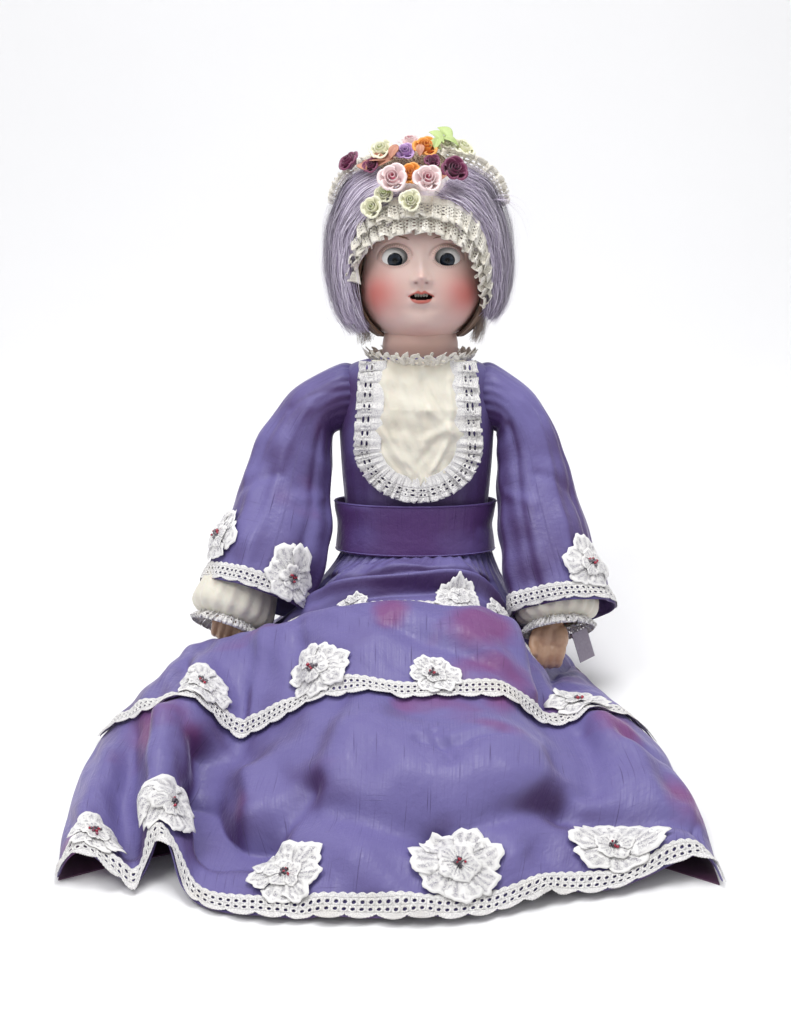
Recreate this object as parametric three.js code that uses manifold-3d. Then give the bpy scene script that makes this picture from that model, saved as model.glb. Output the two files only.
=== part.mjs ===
// A seated bisque-head child doll with a jointed composition body, in a three-tier silk dress.
// Millimetres, +Z up. The doll faces -Y; its own left side is +X. The origin is the point on the floor
// under the hip sockets, on the flat underside of the skirt's back panel.
import * as THREE from 'three';
import { mergeVertices } from 'three/addons/utils/BufferGeometryUtils.js';
import Module from 'manifold-3d';

const wasm = await Module();
wasm.setup();

// ---- driving dimensions -------------------------------------------------------------------------
const HIP_HEIGHT = 42;                 // hip sockets above the floor
const LEAN = THREE.MathUtils.degToRad(14);   // the trunk leans back from the hips
const FLOOR_CLEAR = 3;                 // tier edges above the floor, clear of the back panel
const CLOTH = 1.2;                     // silk with its lining
const LACE = 0.9;

const HEAD = { x: 3, y: 2, z: 299, rx: 54, ry: 57, rz: 66, wall: 4.5 };
const EYE = { x: 21.5, y: -33.5, z: 305, r: 13.2 };
const MOUTH = { z: 273, halfWidth: 9, halfHeight: 3.4 };
const NECK = { z: 212, r: 21, bore: 9 };

const SHOULDER = { x: 74, z: 186, ball: 15 };
const ARMS = {
  left: { elbow: [106, -13, 110], wrist: [115, -54, 22], hand: [109, -71, -18], hemRadius: 37 },
  right: { elbow: [-120, -10, 112], wrist: [-148, -42, 32], hand: [-161, -56, -8], hemRadius: 40 },
};
const TAG = [15, 0.8, 26];              // the card tied to the left wrist
const LEG = { hipX: 40, kneeX: 42, kneeY: -134, kneeZ: 48, ankleX: 47, ankleY: -252, ankleZ: 26,
  spread: THREE.MathUtils.degToRad(3) };
const hipCentre = (side) => new THREE.Vector3(side * LEG.hipX, -10, HIP_HEIGHT - 3);

// The dress body, as rings of [height, half width, half depth, sideways shift] up the leaning trunk.
const BODICE = [[58, 60, 45], [84, 60, 45], [130, 64, 47], [165, 66, 45], [186, 65.5, 40], [201, 57, 34],
  [209, 36, 30, 1.5]];
const SASH = [[60, 68, 52, -1], [80, 66.5, 51, -1], [100, 68.5, 52.5, -1]];
const RUFFLE = [[211, 31, 29, 3], [221, 40, 37, 3], [229, 47, 45, 3]];
const WAIST = { z: 59, rx: 62.5, ry: 47.5 };   // the seam that the first tier is gathered into
const BIB = { x: 1, top: 206, bottom: 118, half: 38 };
const BONNET_PUFF = 13;                // how far the cap stands above the round of the head
const ARMHOLE = SHOULDER.ball + 2.5;
const SOCKET_GAP = 1;                  // between each ball and its socket

// The skirt hangs between five ribs. Each rib runs over the legs from the doll's right side to its left;
// the points of all ribs in one column are one feature line, such as a flute, a hollow or the top of a leg.
const LAP = [[-168, -24, 4], [-160, -50, 22], [-150, -62, 32], [-135, -72, 45], [-115, -80, 60],
  [-90, -88, 74], [-50, -96, 86], [-3, -99, 88], [50, -97, 84], [84, -86, 52], [104, -78, 20],
  [120, -58, 12], [134, -24, 4]];
const KNEE = [[-206, -66, 4], [-200, -72, 28], [-186, -80, 46], [-160, -95, 60], [-130, -110, 72],
  [-98, -125, 88], [-57, -138, 106], [-3, -142, 109], [55, -142, 102], [88, -128, 62], [110, -110, 24],
  [134, -95, 20], [152, -72, 4]];
const FLOUNCE = [[-250, -152, 4], [-232, -172, 28], [-206, -188, 47], [-176, -198, 63], [-134, -200, 32],
  [-98, -205, 56], [-57, -212, 79], [-4, -222, 76], [60, -217, 76], [94, -202, 44], [131, -190, 46],
  [160, -178, 36], [184, -158, 4]];
const SHIN = [[-258, -258, 4], [-240, -268, 26], [-205, -285, 22], [-182, -275, 42], [-148, -285, 16],
  [-108, -300, 28], [-57, -312, 56], [-1, -320, 54], [55, -318, 56], [98, -300, 38], [151, -280, 34],
  [188, -266, 28], [202, -262, 4]];
const HEM = [[-250, -355, 4], [-230, -352, 24], [-196, -364, 4], [-180, -345, 32], [-152, -385, 4],
  [-108, -402, 4], [-68, -404, 4], [-12, -405, 4], [38, -400, 4], [86, -378, 7], [127, -372, 5],
  [190, -350, 18], [206, -360, 4]];
const RIBS = [LAP, KNEE, FLOUNCE, SHIN, HEM];

// ---- geometry helpers ---------------------------------------------------------------------------
const vec = (x, y, z) => new THREE.Vector3(x, y, z);
const lerp = THREE.MathUtils.lerp;

function solidFromGrid(rows, closedU, capStart = false, capEnd = false) {
  // rows[v][u] of points: a skin, closed round u, with flat fans on either end when asked.
  const position = [];
  const index = [];
  const nu = rows[0].length;
  rows.forEach((row) => row.forEach((p) => position.push(p.x, p.y, p.z)));
  const at = (v, u) => v * nu + (u % nu);
  const last = closedU ? nu : nu - 1;
  for (let v = 0; v < rows.length - 1; v += 1) {
    for (let u = 0; u < last; u += 1) {
      index.push(at(v, u), at(v, u + 1), at(v + 1, u + 1), at(v, u), at(v + 1, u + 1), at(v + 1, u));
    }
  }
  const fan = (v, flip) => {
    const centre = rows[v].reduce((sum, p) => sum.add(p), vec(0, 0, 0)).divideScalar(nu);
    const c = position.length / 3;
    position.push(centre.x, centre.y, centre.z);
    for (let u = 0; u < nu; u += 1) {
      index.push(...(flip ? [at(v, u + 1), at(v, u), c] : [at(v, u), at(v, u + 1), c]));
    }
  };
  if (capStart) fan(0, true);
  if (capEnd) fan(rows.length - 1, false);
  return finish(position, index);
}

function finish(position, index) {
  const geometry = new THREE.BufferGeometry();
  geometry.setAttribute('position', new THREE.Float32BufferAttribute(position, 3));
  geometry.setIndex(index);
  const a = vec(0, 0, 0);
  const b = vec(0, 0, 0);
  const c = vec(0, 0, 0);
  let volume = 0;
  for (let i = 0; i < index.length; i += 3) {
    a.fromArray(position, index[i] * 3);
    b.fromArray(position, index[i + 1] * 3);
    c.fromArray(position, index[i + 2] * 3);
    volume += a.dot(b.cross(c));
  }
  if (volume < 0) {
    geometry.setIndex(index.map((_, i) => index[i - (i % 3) + [0, 2, 1][i % 3]]));
  }
  geometry.computeVertexNormals();
  return geometry;
}

function cloth(surface, nu, nv, closedU, thickness, lift = 0) {
  // A closed solid of even thickness on a surface(u, v), u and v from 0 to 1, lifted along its normal.
  const step = 1e-3;
  const skin = (height) => {
    const rows = [];
    for (let j = 0; j <= nv; j += 1) {
      const row = [];
      for (let i = 0; i < (closedU ? nu : nu + 1); i += 1) {
        const u = i / nu;
        const v = j / nv;
        const back = closedU ? u - step : Math.max(u - step, 0);
        const front = closedU ? u + step : Math.min(u + step, 1);
        const du = surface(front, v).sub(surface(back, v));
        const dv = surface(u, Math.min(v + step, 1)).sub(surface(u, Math.max(v - step, 0)));
        row.push(surface(u, v).addScaledVector(du.cross(dv).normalize(), height));
      }
      rows.push(row);
    }
    return rows;
  };
  const top = skin(lift + thickness);
  const bottom = skin(lift);
  if (closedU) {
    return solidFromGrid(columns([...top, ...bottom.reverse()]), true);
  }
  const loop = top.map((row, j) => [...row, ...[...bottom[j]].reverse()]);
  return solidFromStrip(loop);
}

const columns = (rows) => rows[0].map((_, u) => rows.map((row) => row[u])).concat([rows.map((r) => r[0])]);

function solidFromStrip(loops) {
  // Each loop runs out along the top skin and back along the bottom skin; the end loops are closed flat.
  const n = loops[0].length;
  const position = loops.flat().flatMap((p) => [p.x, p.y, p.z]);
  const index = [];
  const at = (v, u) => v * n + (u % n);
  for (let v = 0; v < loops.length - 1; v += 1) {
    for (let u = 0; u < n; u += 1) {
      index.push(at(v, u), at(v, u + 1), at(v + 1, u + 1), at(v, u), at(v + 1, u + 1), at(v + 1, u));
    }
  }
  for (const [v, flip] of [[0, true], [loops.length - 1, false]]) {
    for (let u = 0; u < n / 2 - 1; u += 1) {
      const [a, b, c, d] = [at(v, u), at(v, u + 1), at(v, n - 2 - u), at(v, n - 1 - u)];
      index.push(...(flip ? [a, c, b, a, d, c] : [a, b, c, a, c, d]));
    }
  }
  return finish(position, index);
}

function ringAround(centre, axis, radiusA, radiusB, count, towards = null) {
  const z = axis.clone().normalize();
  const side = towards ?? (Math.abs(z.x) > 0.95 ? vec(0, 1, 0) : vec(1, 0, 0));
  const x = side.clone().addScaledVector(z, -side.dot(z)).normalize();
  const y = z.clone().cross(x);
  return Array.from({ length: count }, (_, i) => {
    const t = (i / count) * Math.PI * 2;
    return centre.clone()
      .addScaledVector(x, radiusA * Math.cos(t))
      .addScaledVector(y, radiusB * Math.sin(t));
  });
}

function limb(from, to, profile, count = 12) {
  // A closed round limb: profile lists [distance from the start, radius], running on towards `to`.
  const axis = to.clone().sub(from).normalize();
  const rows = profile.map(([d, r]) => ringAround(from.clone().addScaledVector(axis, d), axis, r, r, count));
  return solidFromGrid(rows, true, true, true);
}

function ball(r, end, steps) {
  // Profile points of a round end, from its tip to `end` along the axis.
  return Array.from({ length: steps + 1 }, (_, i) => {
    const d = lerp(-r * 0.97, end, i / steps);
    return [d, Math.sqrt(Math.max(r * r - d * d, 1))];
  });
}

function toManifold(geometry) {
  const bare = new THREE.BufferGeometry();
  bare.setAttribute('position', geometry.attributes.position);
  bare.setIndex(geometry.index);
  const merged = mergeVertices(bare, 1e-3);
  return new wasm.Manifold(new wasm.Mesh({
    numProp: 3,
    vertProperties: new Float32Array(merged.attributes.position.array),
    triVerts: new Uint32Array(merged.index.array),
  }));
}

function fromManifold(solid) {
  const mesh = solid.getMesh();
  const geometry = new THREE.BufferGeometry();
  geometry.setAttribute('position', new THREE.BufferAttribute(mesh.vertProperties, 3));
  geometry.setIndex(new THREE.BufferAttribute(mesh.triVerts, 1));
  geometry.computeVertexNormals();
  return geometry;
}

const ellipsoid = (rx, ry, rz, x, y, z, w = 20, h = 12) => {
  const sphere = new THREE.SphereGeometry(1, w, h).rotateX(Math.PI / 2).scale(rx, ry, rz).translate(x, y, z);
  return toManifold(sphere);
};
const rod = (from, to, r, sides = 8) => limb(from, to, [[0, r], [from.distanceTo(to), r]], sides);
const box = (w, d, h) => new THREE.BoxGeometry(w, d, h);

// ---- the object ---------------------------------------------------------------------------------
const doll = new THREE.Group();
const trunk = new THREE.Group();       // everything that leans back with the body
trunk.position.z = HIP_HEIGHT;
trunk.rotation.x = -LEAN;
doll.add(trunk);

function add(parent, name, geometry, color, roughness, metalness = 0) {
  const mesh = new THREE.Mesh(geometry, new THREE.MeshStandardMaterial({ color, roughness, metalness }));
  mesh.name = name;
  parent.add(mesh);
  return mesh;
}
const COLOUR = {
  bisque: 0xe8c8bf, glass: 0x39424c, lead: 0x7c7f83, hair: 0x5a3c28, composition: 0xc9a080,
  silk: 0x5b479b, lining: 0x3c1f3c, lace: 0xe6e5e0, satin: 0xece6d8, feather: 0xb3a3c6,
  elastic: 0x3a3632, wood: 0xa98257, leather: 0x2c2524, card: 0x8d8496,
};

// Head: a hollow bisque shell with an open crown, eye openings, an open mouth and a bored round neck.
function bisqueHead() {
  const { x, y, z, rx, ry, rz, wall } = HEAD;
  const neckEnd = vec(x, 0, NECK.z - 4);
  const neck = toManifold(limb(neckEnd, vec(x, 0, z), [...ball(17, 10, 4), [18, 16], [60, 17]], 20));
  const cheeks = ellipsoid(40, 30, 30, x, y - 18, z - 30, 16, 10);
  const nose = ellipsoid(5, 7, 8, x, -57, 291, 10, 8);
  let head = ellipsoid(rx, ry, rz, x, y, z).add(cheeks).add(neck).add(nose);
  head = head.subtract(ellipsoid(rx - wall, ry - wall, rz - wall, x, y, z));
  head = head.subtract(ellipsoid(36, 24, 24, x, y - 18, z - 28, 16, 10));
  for (const side of [-1, 1]) {
    const ex = x + side * EYE.x;
    head = head.subtract(ellipsoid(EYE.r + 0.9, EYE.r + 0.9, EYE.r + 0.9, ex, EYE.y, EYE.z, 12, 8));
    head = head.subtract(ellipsoid(11.5, 22, 7.5, ex, -60, EYE.z, 12, 6));
  }
  head = head.subtract(ellipsoid(MOUTH.halfWidth, 16, MOUTH.halfHeight, x, -54, MOUTH.z, 14, 8));
  head = head.subtract(toManifold(box(160, 160, 60).translate(x, y, z + 48 + 30)));
  head = head.subtract(toManifold(rod(vec(x, 0, NECK.z - 30), vec(x, 0, z), NECK.bore, 16)));
  return fromManifold(head);
}
add(trunk, 'bisque_head', bisqueHead(), COLOUR.bisque, 0.55);

function headShell(inner, outer, azimuth, polar, nu, nv, closedU, puff = 0) {
  // A skin round the head: azimuth is measured from the face (-Y), polar from the crown, in degrees.
  // puff raises the crown of the bonnet above the round of the head.
  const rad = THREE.MathUtils.degToRad;
  const surface = (u, v) => {
    const turn = lerp(azimuth[0], azimuth[1], u);
    const [low, high] = polar(turn);
    const a = rad(turn);
    const p = rad(lerp(low, high, v));
    return vec(
      HEAD.x + (HEAD.rx + inner) * Math.sin(a) * Math.sin(p),
      HEAD.y - (HEAD.ry + inner) * Math.cos(a) * Math.sin(p),
      HEAD.z + (HEAD.rz + inner + puff * Math.max(Math.cos(p), 0) ** 2) * Math.cos(p),
    );
  };
  const flip = (u, v) => surface(1 - u, v);
  return cloth(flip, nu, nv, closedU, outer - inner);
}
const faceEdge = (turn) => Math.abs(((turn + 540) % 360) - 180);

add(trunk, 'crown_pate', headShell(1.2, 3, [0, 360], () => [3, 47], 16, 3, true), COLOUR.card, 0.9);
add(trunk, 'wig', headShell(4.2, 7.4, [56, 304], () => [14, 128], 16, 6, false), COLOUR.hair, 0.8);

// Sleep eyes: two glass bowls on a wire rocker whose lead weight hangs below and behind the pivot.
function eyeBowl(x) {
  const profile = [];
  const steps = 5;
  for (let i = 0; i <= steps; i += 1) {
    const t = (i / steps) * 1.5;
    profile.push(new THREE.Vector2(Math.sin(t) * EYE.r, Math.cos(t) * EYE.r));
  }
  for (let i = steps; i >= 0; i -= 1) {
    const t = (i / steps) * 1.5;
    profile.push(new THREE.Vector2(Math.sin(t) * (EYE.r - 2.2), Math.cos(t) * (EYE.r - 2.2)));
  }
  profile[0].x = 0;
  profile[profile.length - 1].x = 0;
  const bowl = new THREE.LatheGeometry(profile, 14).rotateX(Math.PI).translate(x, EYE.y, EYE.z);
  bowl.deleteAttribute('normal');
  bowl.deleteAttribute('uv');
  const merged = mergeVertices(bowl, 1e-3);
  return finish(Array.from(merged.attributes.position.array), Array.from(merged.index.array));
}
add(trunk, 'left_eye', eyeBowl(HEAD.x + EYE.x), COLOUR.glass, 0.05);
add(trunk, 'right_eye', eyeBowl(HEAD.x - EYE.x), COLOUR.glass, 0.05);

function eyeRocker() {
  const y = EYE.y + 7;
  const weight = [HEAD.x, EYE.y + 13, 283];
  const bar = rod(vec(HEAD.x - EYE.x - 4, y, EYE.z), vec(HEAD.x + EYE.x + 4, y, EYE.z), 1.6);
  const stem = rod(vec(HEAD.x, y, EYE.z), vec(...weight), 1.6);
  return fromManifold(toManifold(bar).add(toManifold(stem)).add(ellipsoid(8, 7, 7, ...weight, 12, 8)));
}
add(trunk, 'eye_rocker', eyeRocker(), COLOUR.lead, 0.6, 0.6);
add(trunk, 'upper_teeth', box(9, 1.6, 2.2).translate(HEAD.x, -43.6, MOUTH.z + 4.2), 0xf3efe6, 0.3);

// Neck block: the wooden button under the bore of the neck, with the hook that holds the stringing.
const neckBlock = limb(vec(HEAD.x, 0, 201), vec(HEAD.x, 0, 230),
  [...ball(6, 4, 2), [8, 8.2], [28, 8.2]], 12);
add(trunk, 'neck_block', neckBlock, COLOUR.wood, 0.7);

// Trunk: hollow composition, open at the neck, the arm sockets and the hips for the elastic.
function torsoShell() {
  const levels = [[-22, 26, 22], [-12, 44, 34], [8, 58, 42], [30, 60, 43], [62, 54, 39], [90, 53, 38],
    [130, 58, 40], [165, 60, 38], [184, 58, 33], [197, 42, 27], [204, 27, 24]];
  const skin = (inset) => {
    const up = vec(0, 0, 1);
    const rows = levels.map(([z, rx, ry]) => ringAround(vec(0, 0, z), up, rx - inset, ry - inset, 18));
    return toManifold(solidFromGrid(rows, true, true, true));
  };
  const core = skin(5).subtract(toManifold(box(200, 200, 40).translate(0, 0, -37)));
  const cup = ellipsoid(19.5, 19.5, 19.5, HEAD.x, 0, NECK.z - 1, 20, 12);
  let shell = skin(0).subtract(core).subtract(cup);
  shell = shell.subtract(ellipsoid(11, 11, 40, HEAD.x, 0, 190, 16, 10));
  for (const side of [-1, 1]) {
    const socket = SHOULDER.ball + SOCKET_GAP;
    shell = shell.subtract(ellipsoid(socket, socket, socket, side * SHOULDER.x, 0, SHOULDER.z, 18, 12));
    shell = shell.subtract(toManifold(rod(vec(side * 30, 0, SHOULDER.z), vec(side * 82, 0, SHOULDER.z), 5)));
    for (const spread of [0, 0.5, 1]) {
      const turn = side * LEG.spread * spread;
      const hip = hipCentre(side);
      const knee = vec(side * LEG.kneeX, LEG.kneeY, LEG.kneeZ).sub(hip).applyAxisAngle(vec(0, 0, 1), turn);
      const room = limb(hip, hip.clone().add(knee), [...ball(32.4, 10, 4), [80, 32]], 18);
      room.translate(0, 0, -HIP_HEIGHT).rotateX(LEAN);
      shell = shell.subtract(toManifold(room));
    }
  }
  return fromManifold(shell);
}
add(trunk, 'torso_shell', torsoShell(), COLOUR.composition, 0.45);
add(trunk, 'arm_elastic', rod(vec(-52, 0, SHOULDER.z), vec(52, 0, SHOULDER.z), 1.8), COLOUR.elastic, 0.9);
add(trunk, 'leg_elastic', rod(vec(3, 0, 181), vec(3, 0, 30), 2.2), COLOUR.elastic, 0.9);

// Arms: ball-ended upper arm and forearm, hand on a round wrist, wide sleeve and puffed undersleeve.
function lerp3(a, b, t) {
  return a.clone().lerp(b, t);
}

const FRONT = vec(0, -1, 0);
function tube(rings, thickness) {
  // A cloth tube through rings of [centre, axis, radiusA, radiusB].
  const count = 14;
  const skin = (inset) => rings.map(([c, axis, ra, rb]) =>
    ringAround(c, axis, ra - inset, rb - inset, count, FRONT));
  const outer = skin(0);
  const inner = skin(thickness).reverse();
  return solidFromGrid(columns([...outer, ...inner]), true);
}

for (const [side, arm] of Object.entries(ARMS)) {
  const sign = side === 'left' ? 1 : -1;
  const shoulder = vec(sign * SHOULDER.x, 0, SHOULDER.z);
  const elbow = vec(...arm.elbow);
  const wrist = vec(...arm.wrist);
  const hand = vec(...arm.hand);
  const upper = shoulder.distanceTo(elbow);
  const lower = elbow.distanceTo(wrist);
  const fist = wrist.distanceTo(hand);
  const fore = wrist.clone().sub(elbow).normalize();
  const out = elbow.clone().sub(shoulder).normalize();

  add(trunk, `upper_arm_${side}`, limb(shoulder, elbow,
    [...ball(SHOULDER.ball - 1, 8, 4), [20, 11.5], [50, 12], [upper - 15, 11.5]]), COLOUR.composition, 0.45);
  add(trunk, `forearm_${side}`, limb(elbow, wrist,
    [...ball(12, 6, 3), [14, 12.5], [30, 12.5], [lower - 9, 8.5]]), COLOUR.composition, 0.45);
  add(trunk, `hand_${side}`, limb(wrist, hand,
    [...ball(8, 2, 3), [8, 10], [20, 14.5], [32, 15], [fist - 4, 13], [fist + 2, 8]]),
  COLOUR.composition, 0.45);

  const along = vec(sign, 0, 0);
  const down = (t) => lerp3(elbow, wrist, t);
  const hem = arm.hemRadius;
  add(trunk, `sleeve_${side}`, tube([
    [shoulder.clone().setX(sign * 67.5), along, 24, 24],
    [shoulder.clone().setX(sign * 69.6), along, 25, 25],
    [shoulder.clone().addScaledVector(out, 12).setX(sign * 88), lerp3(along, out, 0.6), 25, 25.5],
    [lerp3(shoulder, elbow, 0.5).add(vec(sign * 5, 0, 0)), out, 26, 30],
    [elbow.clone().add(vec(sign * 3, 0, 0)), lerp3(out, fore, 0.5), 33, 36],
    [down(0.45), fore, 38, 38],
    [down(0.86), fore, hem, hem - 2],
  ], CLOTH), COLOUR.silk, 0.4);
  add(trunk, `sleeve_lace_${side}`, tube([
    [down(0.7), fore, hem + 2.6, hem + 0.8],
    [down(0.98), fore, hem + 3.4, hem + 1.6],
  ], LACE), COLOUR.lace, 0.8);
  add(trunk, `undersleeve_${side}`, tube([
    [down(0.3), fore, 18, 18],
    [down(0.62), fore, 29, 27],
    [down(1.0), fore, 34, 30],
    [wrist.clone().addScaledVector(fore, 12), fore, 24, 22],
  ], CLOTH), COLOUR.satin, 0.6);
  add(trunk, `cuff_frill_${side}`, tube([
    [wrist.clone().addScaledVector(fore, 12.6), fore, 22, 20.5],
    [wrist.clone().addScaledVector(fore, 24), fore, 30, 27],
  ], LACE), COLOUR.lace, 0.8);
}

// A small card tag tied to the left wrist.
const tag = add(trunk, 'card_tag', box(...TAG), COLOUR.card, 0.9);
tag.position.set(138, -62, -14);
tag.rotation.set(0.12, -0.3, 0.5);

// Dress body: bodice, satin bib with its gathered lace, neck ruffle and sash.
const oval = (u, rx, ry) => {
  const t = u * Math.PI * 2;
  return [rx * Math.cos(t), ry * Math.sin(t)];
};
function clothRings(levels, n, thickness) {
  const rows = levels.map(([z, rx, ry, x = 0]) => ringAround(vec(x, 0, z), vec(0, 0, 1), rx, ry, n));
  const inner = levels.map(([z, rx, ry, x = 0]) =>
    ringAround(vec(x, 0, z), vec(0, 0, 1), rx - thickness, ry - thickness, n)).reverse();
  return solidFromGrid(columns([...rows, ...inner]), true);
}
function bodice() {
  // A close-fitting body with an armhole at each shoulder.
  let silk = toManifold(clothRings(BODICE, 20, CLOTH));
  for (const side of [-1, 1]) {
    silk = silk.subtract(ellipsoid(ARMHOLE, ARMHOLE, ARMHOLE, side * SHOULDER.x, 0, SHOULDER.z, 18, 12));
  }
  return fromManifold(silk);
}
add(trunk, 'bodice', bodice(), COLOUR.silk, 0.4);
add(trunk, 'sash', clothRings(SASH, 20, CLOTH + 0.6), COLOUR.silk, 0.4);
add(trunk, 'neck_ruffle', clothRings(RUFFLE, 20, LACE), COLOUR.lace, 0.8);

function onChest(x, z, lift) {
  // A point in front of the bodice, over the widest of its levels.
  const rx = 66 + lift;
  const waistwards = Math.min(Math.max((165 - z) / 35, 0), 1);
  const ry = lerp(45, 47, waistwards) + lift - 1.5 - Math.max(z - 180, 0) * 0.35;
  return vec(x, -ry * Math.sqrt(Math.max(1 - (x / rx) ** 2, 0)), z);
}
function bibPoint(u, v, grow, lift) {
  // Across u from side to side, down v from the neck, narrowing to a round lower end.
  const z = lerp(BIB.top, BIB.bottom - grow, v);
  const round = Math.sqrt(Math.max(1 - Math.max((v - 0.45) / 0.56, 0) ** 2, 0.01));
  return onChest(BIB.x + (u * 2 - 1) * (BIB.half + grow) * round, z, lift);
}
add(trunk, 'bib_panel', cloth((u, v) => bibPoint(u, v, 0, 4.5), 8, 7, false, CLOTH), COLOUR.satin, 0.5);

function bibLace(u, v) {
  // A U-shaped band: u runs down one side of the bib, round its end and up the other; v runs outwards.
  const half = lerp(BIB.half + 2, BIB.half + 19, v);
  const reach = lerp(BIB.bottom - 2, BIB.bottom - 16, v);
  const straight = 150;
  const bend = (u - 0.5) * 2;
  const turn = Math.min(Math.abs(bend) / 0.62, 1) * Math.PI / 2;
  const climb = Math.max(Math.abs(bend) - 0.62, 0) / 0.38;
  const x = BIB.x + Math.sign(bend) * half * Math.sin(turn);
  const z = lerp(straight - (straight - reach) * Math.cos(turn), 200, climb);
  return onChest(x, z, 4.5 + 2 * v);
}
add(trunk, 'bib_lace', cloth((u, v) => bibLace(u, v), 20, 1, false, LACE), COLOUR.lace, 0.8);

// Bonnet: silk cap, lace round the face and behind, a feather each side and a spray of ribbon roses.
const capEdge = (turn) => [7, lerp(58, 118, Math.min(Math.max((faceEdge(turn) - 18) / 45, 0), 1))];
add(trunk, 'bonnet_cap', headShell(10.6, 11.8, [0, 360], capEdge, 22, 5, true, BONNET_PUFF),
  COLOUR.feather, 0.7);
const lacePolar = (turn) => {
  const edge = capEdge(turn)[1];
  return [edge - 10, edge + 8];
};
add(trunk, 'bonnet_face_lace', headShell(13, 14.4, [-96, 96], lacePolar, 20, 2, false, BONNET_PUFF),
  COLOUR.lace, 0.8);
const backPolar = () => [20, 52];
add(trunk, 'bonnet_back_frill', headShell(13, 14.4, [112, 248], backPolar, 14, 2, false, BONNET_PUFF),
  COLOUR.lace, 0.8);
const plume = () => [38, 128];
add(trunk, 'feather_left', headShell(15.4, 22, [50, 104], plume, 5, 7, false, BONNET_PUFF),
  COLOUR.feather, 0.9);
add(trunk, 'feather_right', headShell(15.4, 22, [-104, -50], plume, 5, 7, false, BONNET_PUFF),
  COLOUR.feather, 0.9);

const ROSES = [
  ['rose_plum_right', -57, -6, 385, 9.5, 0x5a2440], ['rose_cream_right', -37, -54, 345, 8.5, 0xdfe3b8],
  ['rose_pink_right', -20, -57, 368, 12.5, 0xf3b8c4], ['rose_pink_left', 8, -60, 367.5, 11, 0xf3b8c4],
  ['rose_cream_low', -6, -65, 350, 8, 0xe6e6c2], ['rose_orange_top', 7, -28, 395, 10, 0xe8944a],
  ['rose_lilac', -10, -29, 391, 7, 0x9a78b8], ['rose_plum_left', 30, -46, 376, 10.5, 0x5a2440],
  ['rose_cream_left', 38, -8, 396, 10, 0xdfe3b8],
];
for (const [name, x, y, z, r, color] of ROSES) {
  const rose = new THREE.SphereGeometry(r, 8, 6);
  add(trunk, name, rose, color, 0.6).position.set(x, y, z);
}

// Legs: ball-ended thigh, lower leg with a boot, turned out a little, lying forward under the skirt.
for (const [side, sign] of [['left', 1], ['right', -1]]) {
  const hip = hipCentre(sign);
  const knee = vec(sign * LEG.kneeX, LEG.kneeY, LEG.kneeZ);
  const ankle = vec(sign * LEG.ankleX, LEG.ankleY, LEG.ankleZ);
  const thigh = hip.distanceTo(knee);
  const shin = knee.distanceTo(ankle);
  add(doll, `thigh_${side}`, limb(hip, knee,
    [...ball(31, 10, 4), [30, 29], [70, 26], [thigh - 21, 22]], 14), COLOUR.composition, 0.45);
  add(doll, `lower_leg_${side}`, limb(knee, ankle,
    [...ball(19, 10, 3), [24, 21], [60, 21], [shin - 26, 15]], 14), COLOUR.composition, 0.45);
  const axis = ankle.clone().sub(knee).normalize();
  const toe = vec(sign * 0.3, -0.1, 0.95).normalize();
  const heel = ankle.clone().addScaledVector(axis, -4);
  const sole = [
    [heel.clone().addScaledVector(axis, -20), axis, 16.5, 16.5],
    [heel.clone().addScaledVector(axis, 2), axis, 17, 17],
    [heel.clone().addScaledVector(axis, 14).addScaledVector(toe, 9), axis, 23, 14],
    [heel.clone().addScaledVector(axis, 24).addScaledVector(toe, 10), axis, 24, 13],
  ];
  const boot = sole.map(([c, a, ra, rb]) => ringAround(c, a, ra, rb, 14, toe));
  add(doll, `boot_${side}`, solidFromGrid(boot, true, true, true), COLOUR.leather, 0.5);
}

// Skirt: a tube of three tiers, flattened by sitting; its back panel lies on the floor under the legs.
function spline(points, t) {
  // A smooth curve through a list of numbers, t from 0 to 1.
  const place = Math.min(Math.max(t, 0), 1) * (points.length - 1);
  const i = Math.min(Math.floor(place), points.length - 2);
  const f = place - i;
  const [a, b, c, d] = [-1, 0, 1, 2].map((k) => points[Math.min(Math.max(i + k, 0), points.length - 1)]);
  return 0.5 * (2 * b + (c - a) * f + (2 * a - 5 * b + 4 * c - d) * f * f
    + (3 * b - a - 3 * c + d) * f * f * f);
}
function drape(u, v) {
  // u over the legs from the doll's left side (0) to its right (1); v from the lap rib to the hem.
  const axis = (k) => spline(RIBS.map((rib) => spline(rib.map((point) => point[k]), 1 - u)), v);
  return vec(axis(0), axis(1), Math.max(axis(2), FLOOR_CLEAR));
}
const LIFTED = 0.9;                    // lace above the silk it is sewn to
function tier(v0, v1, lift, thickness, nu, nv) {
  return cloth((u, v) => drape(u, lerp(v0, v1, v)), nu, nv, false, thickness, lift);
}
add(doll, 'skirt_tier_2', tier(0.012, 0.5, -CLOTH, CLOTH, 24, 6), COLOUR.silk, 0.4);
add(doll, 'skirt_tier_3', tier(0.506, 0.98, -CLOTH, CLOTH, 24, 6), COLOUR.silk, 0.4);
add(doll, 'skirt_lace_2', tier(0.47, 0.535, LIFTED + 0.6, LACE, 24, 1), COLOUR.lace, 0.8);
add(doll, 'skirt_lace_3', tier(0.94, 1, LIFTED + 0.9, LACE, 24, 1), COLOUR.lace, 0.8);

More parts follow.
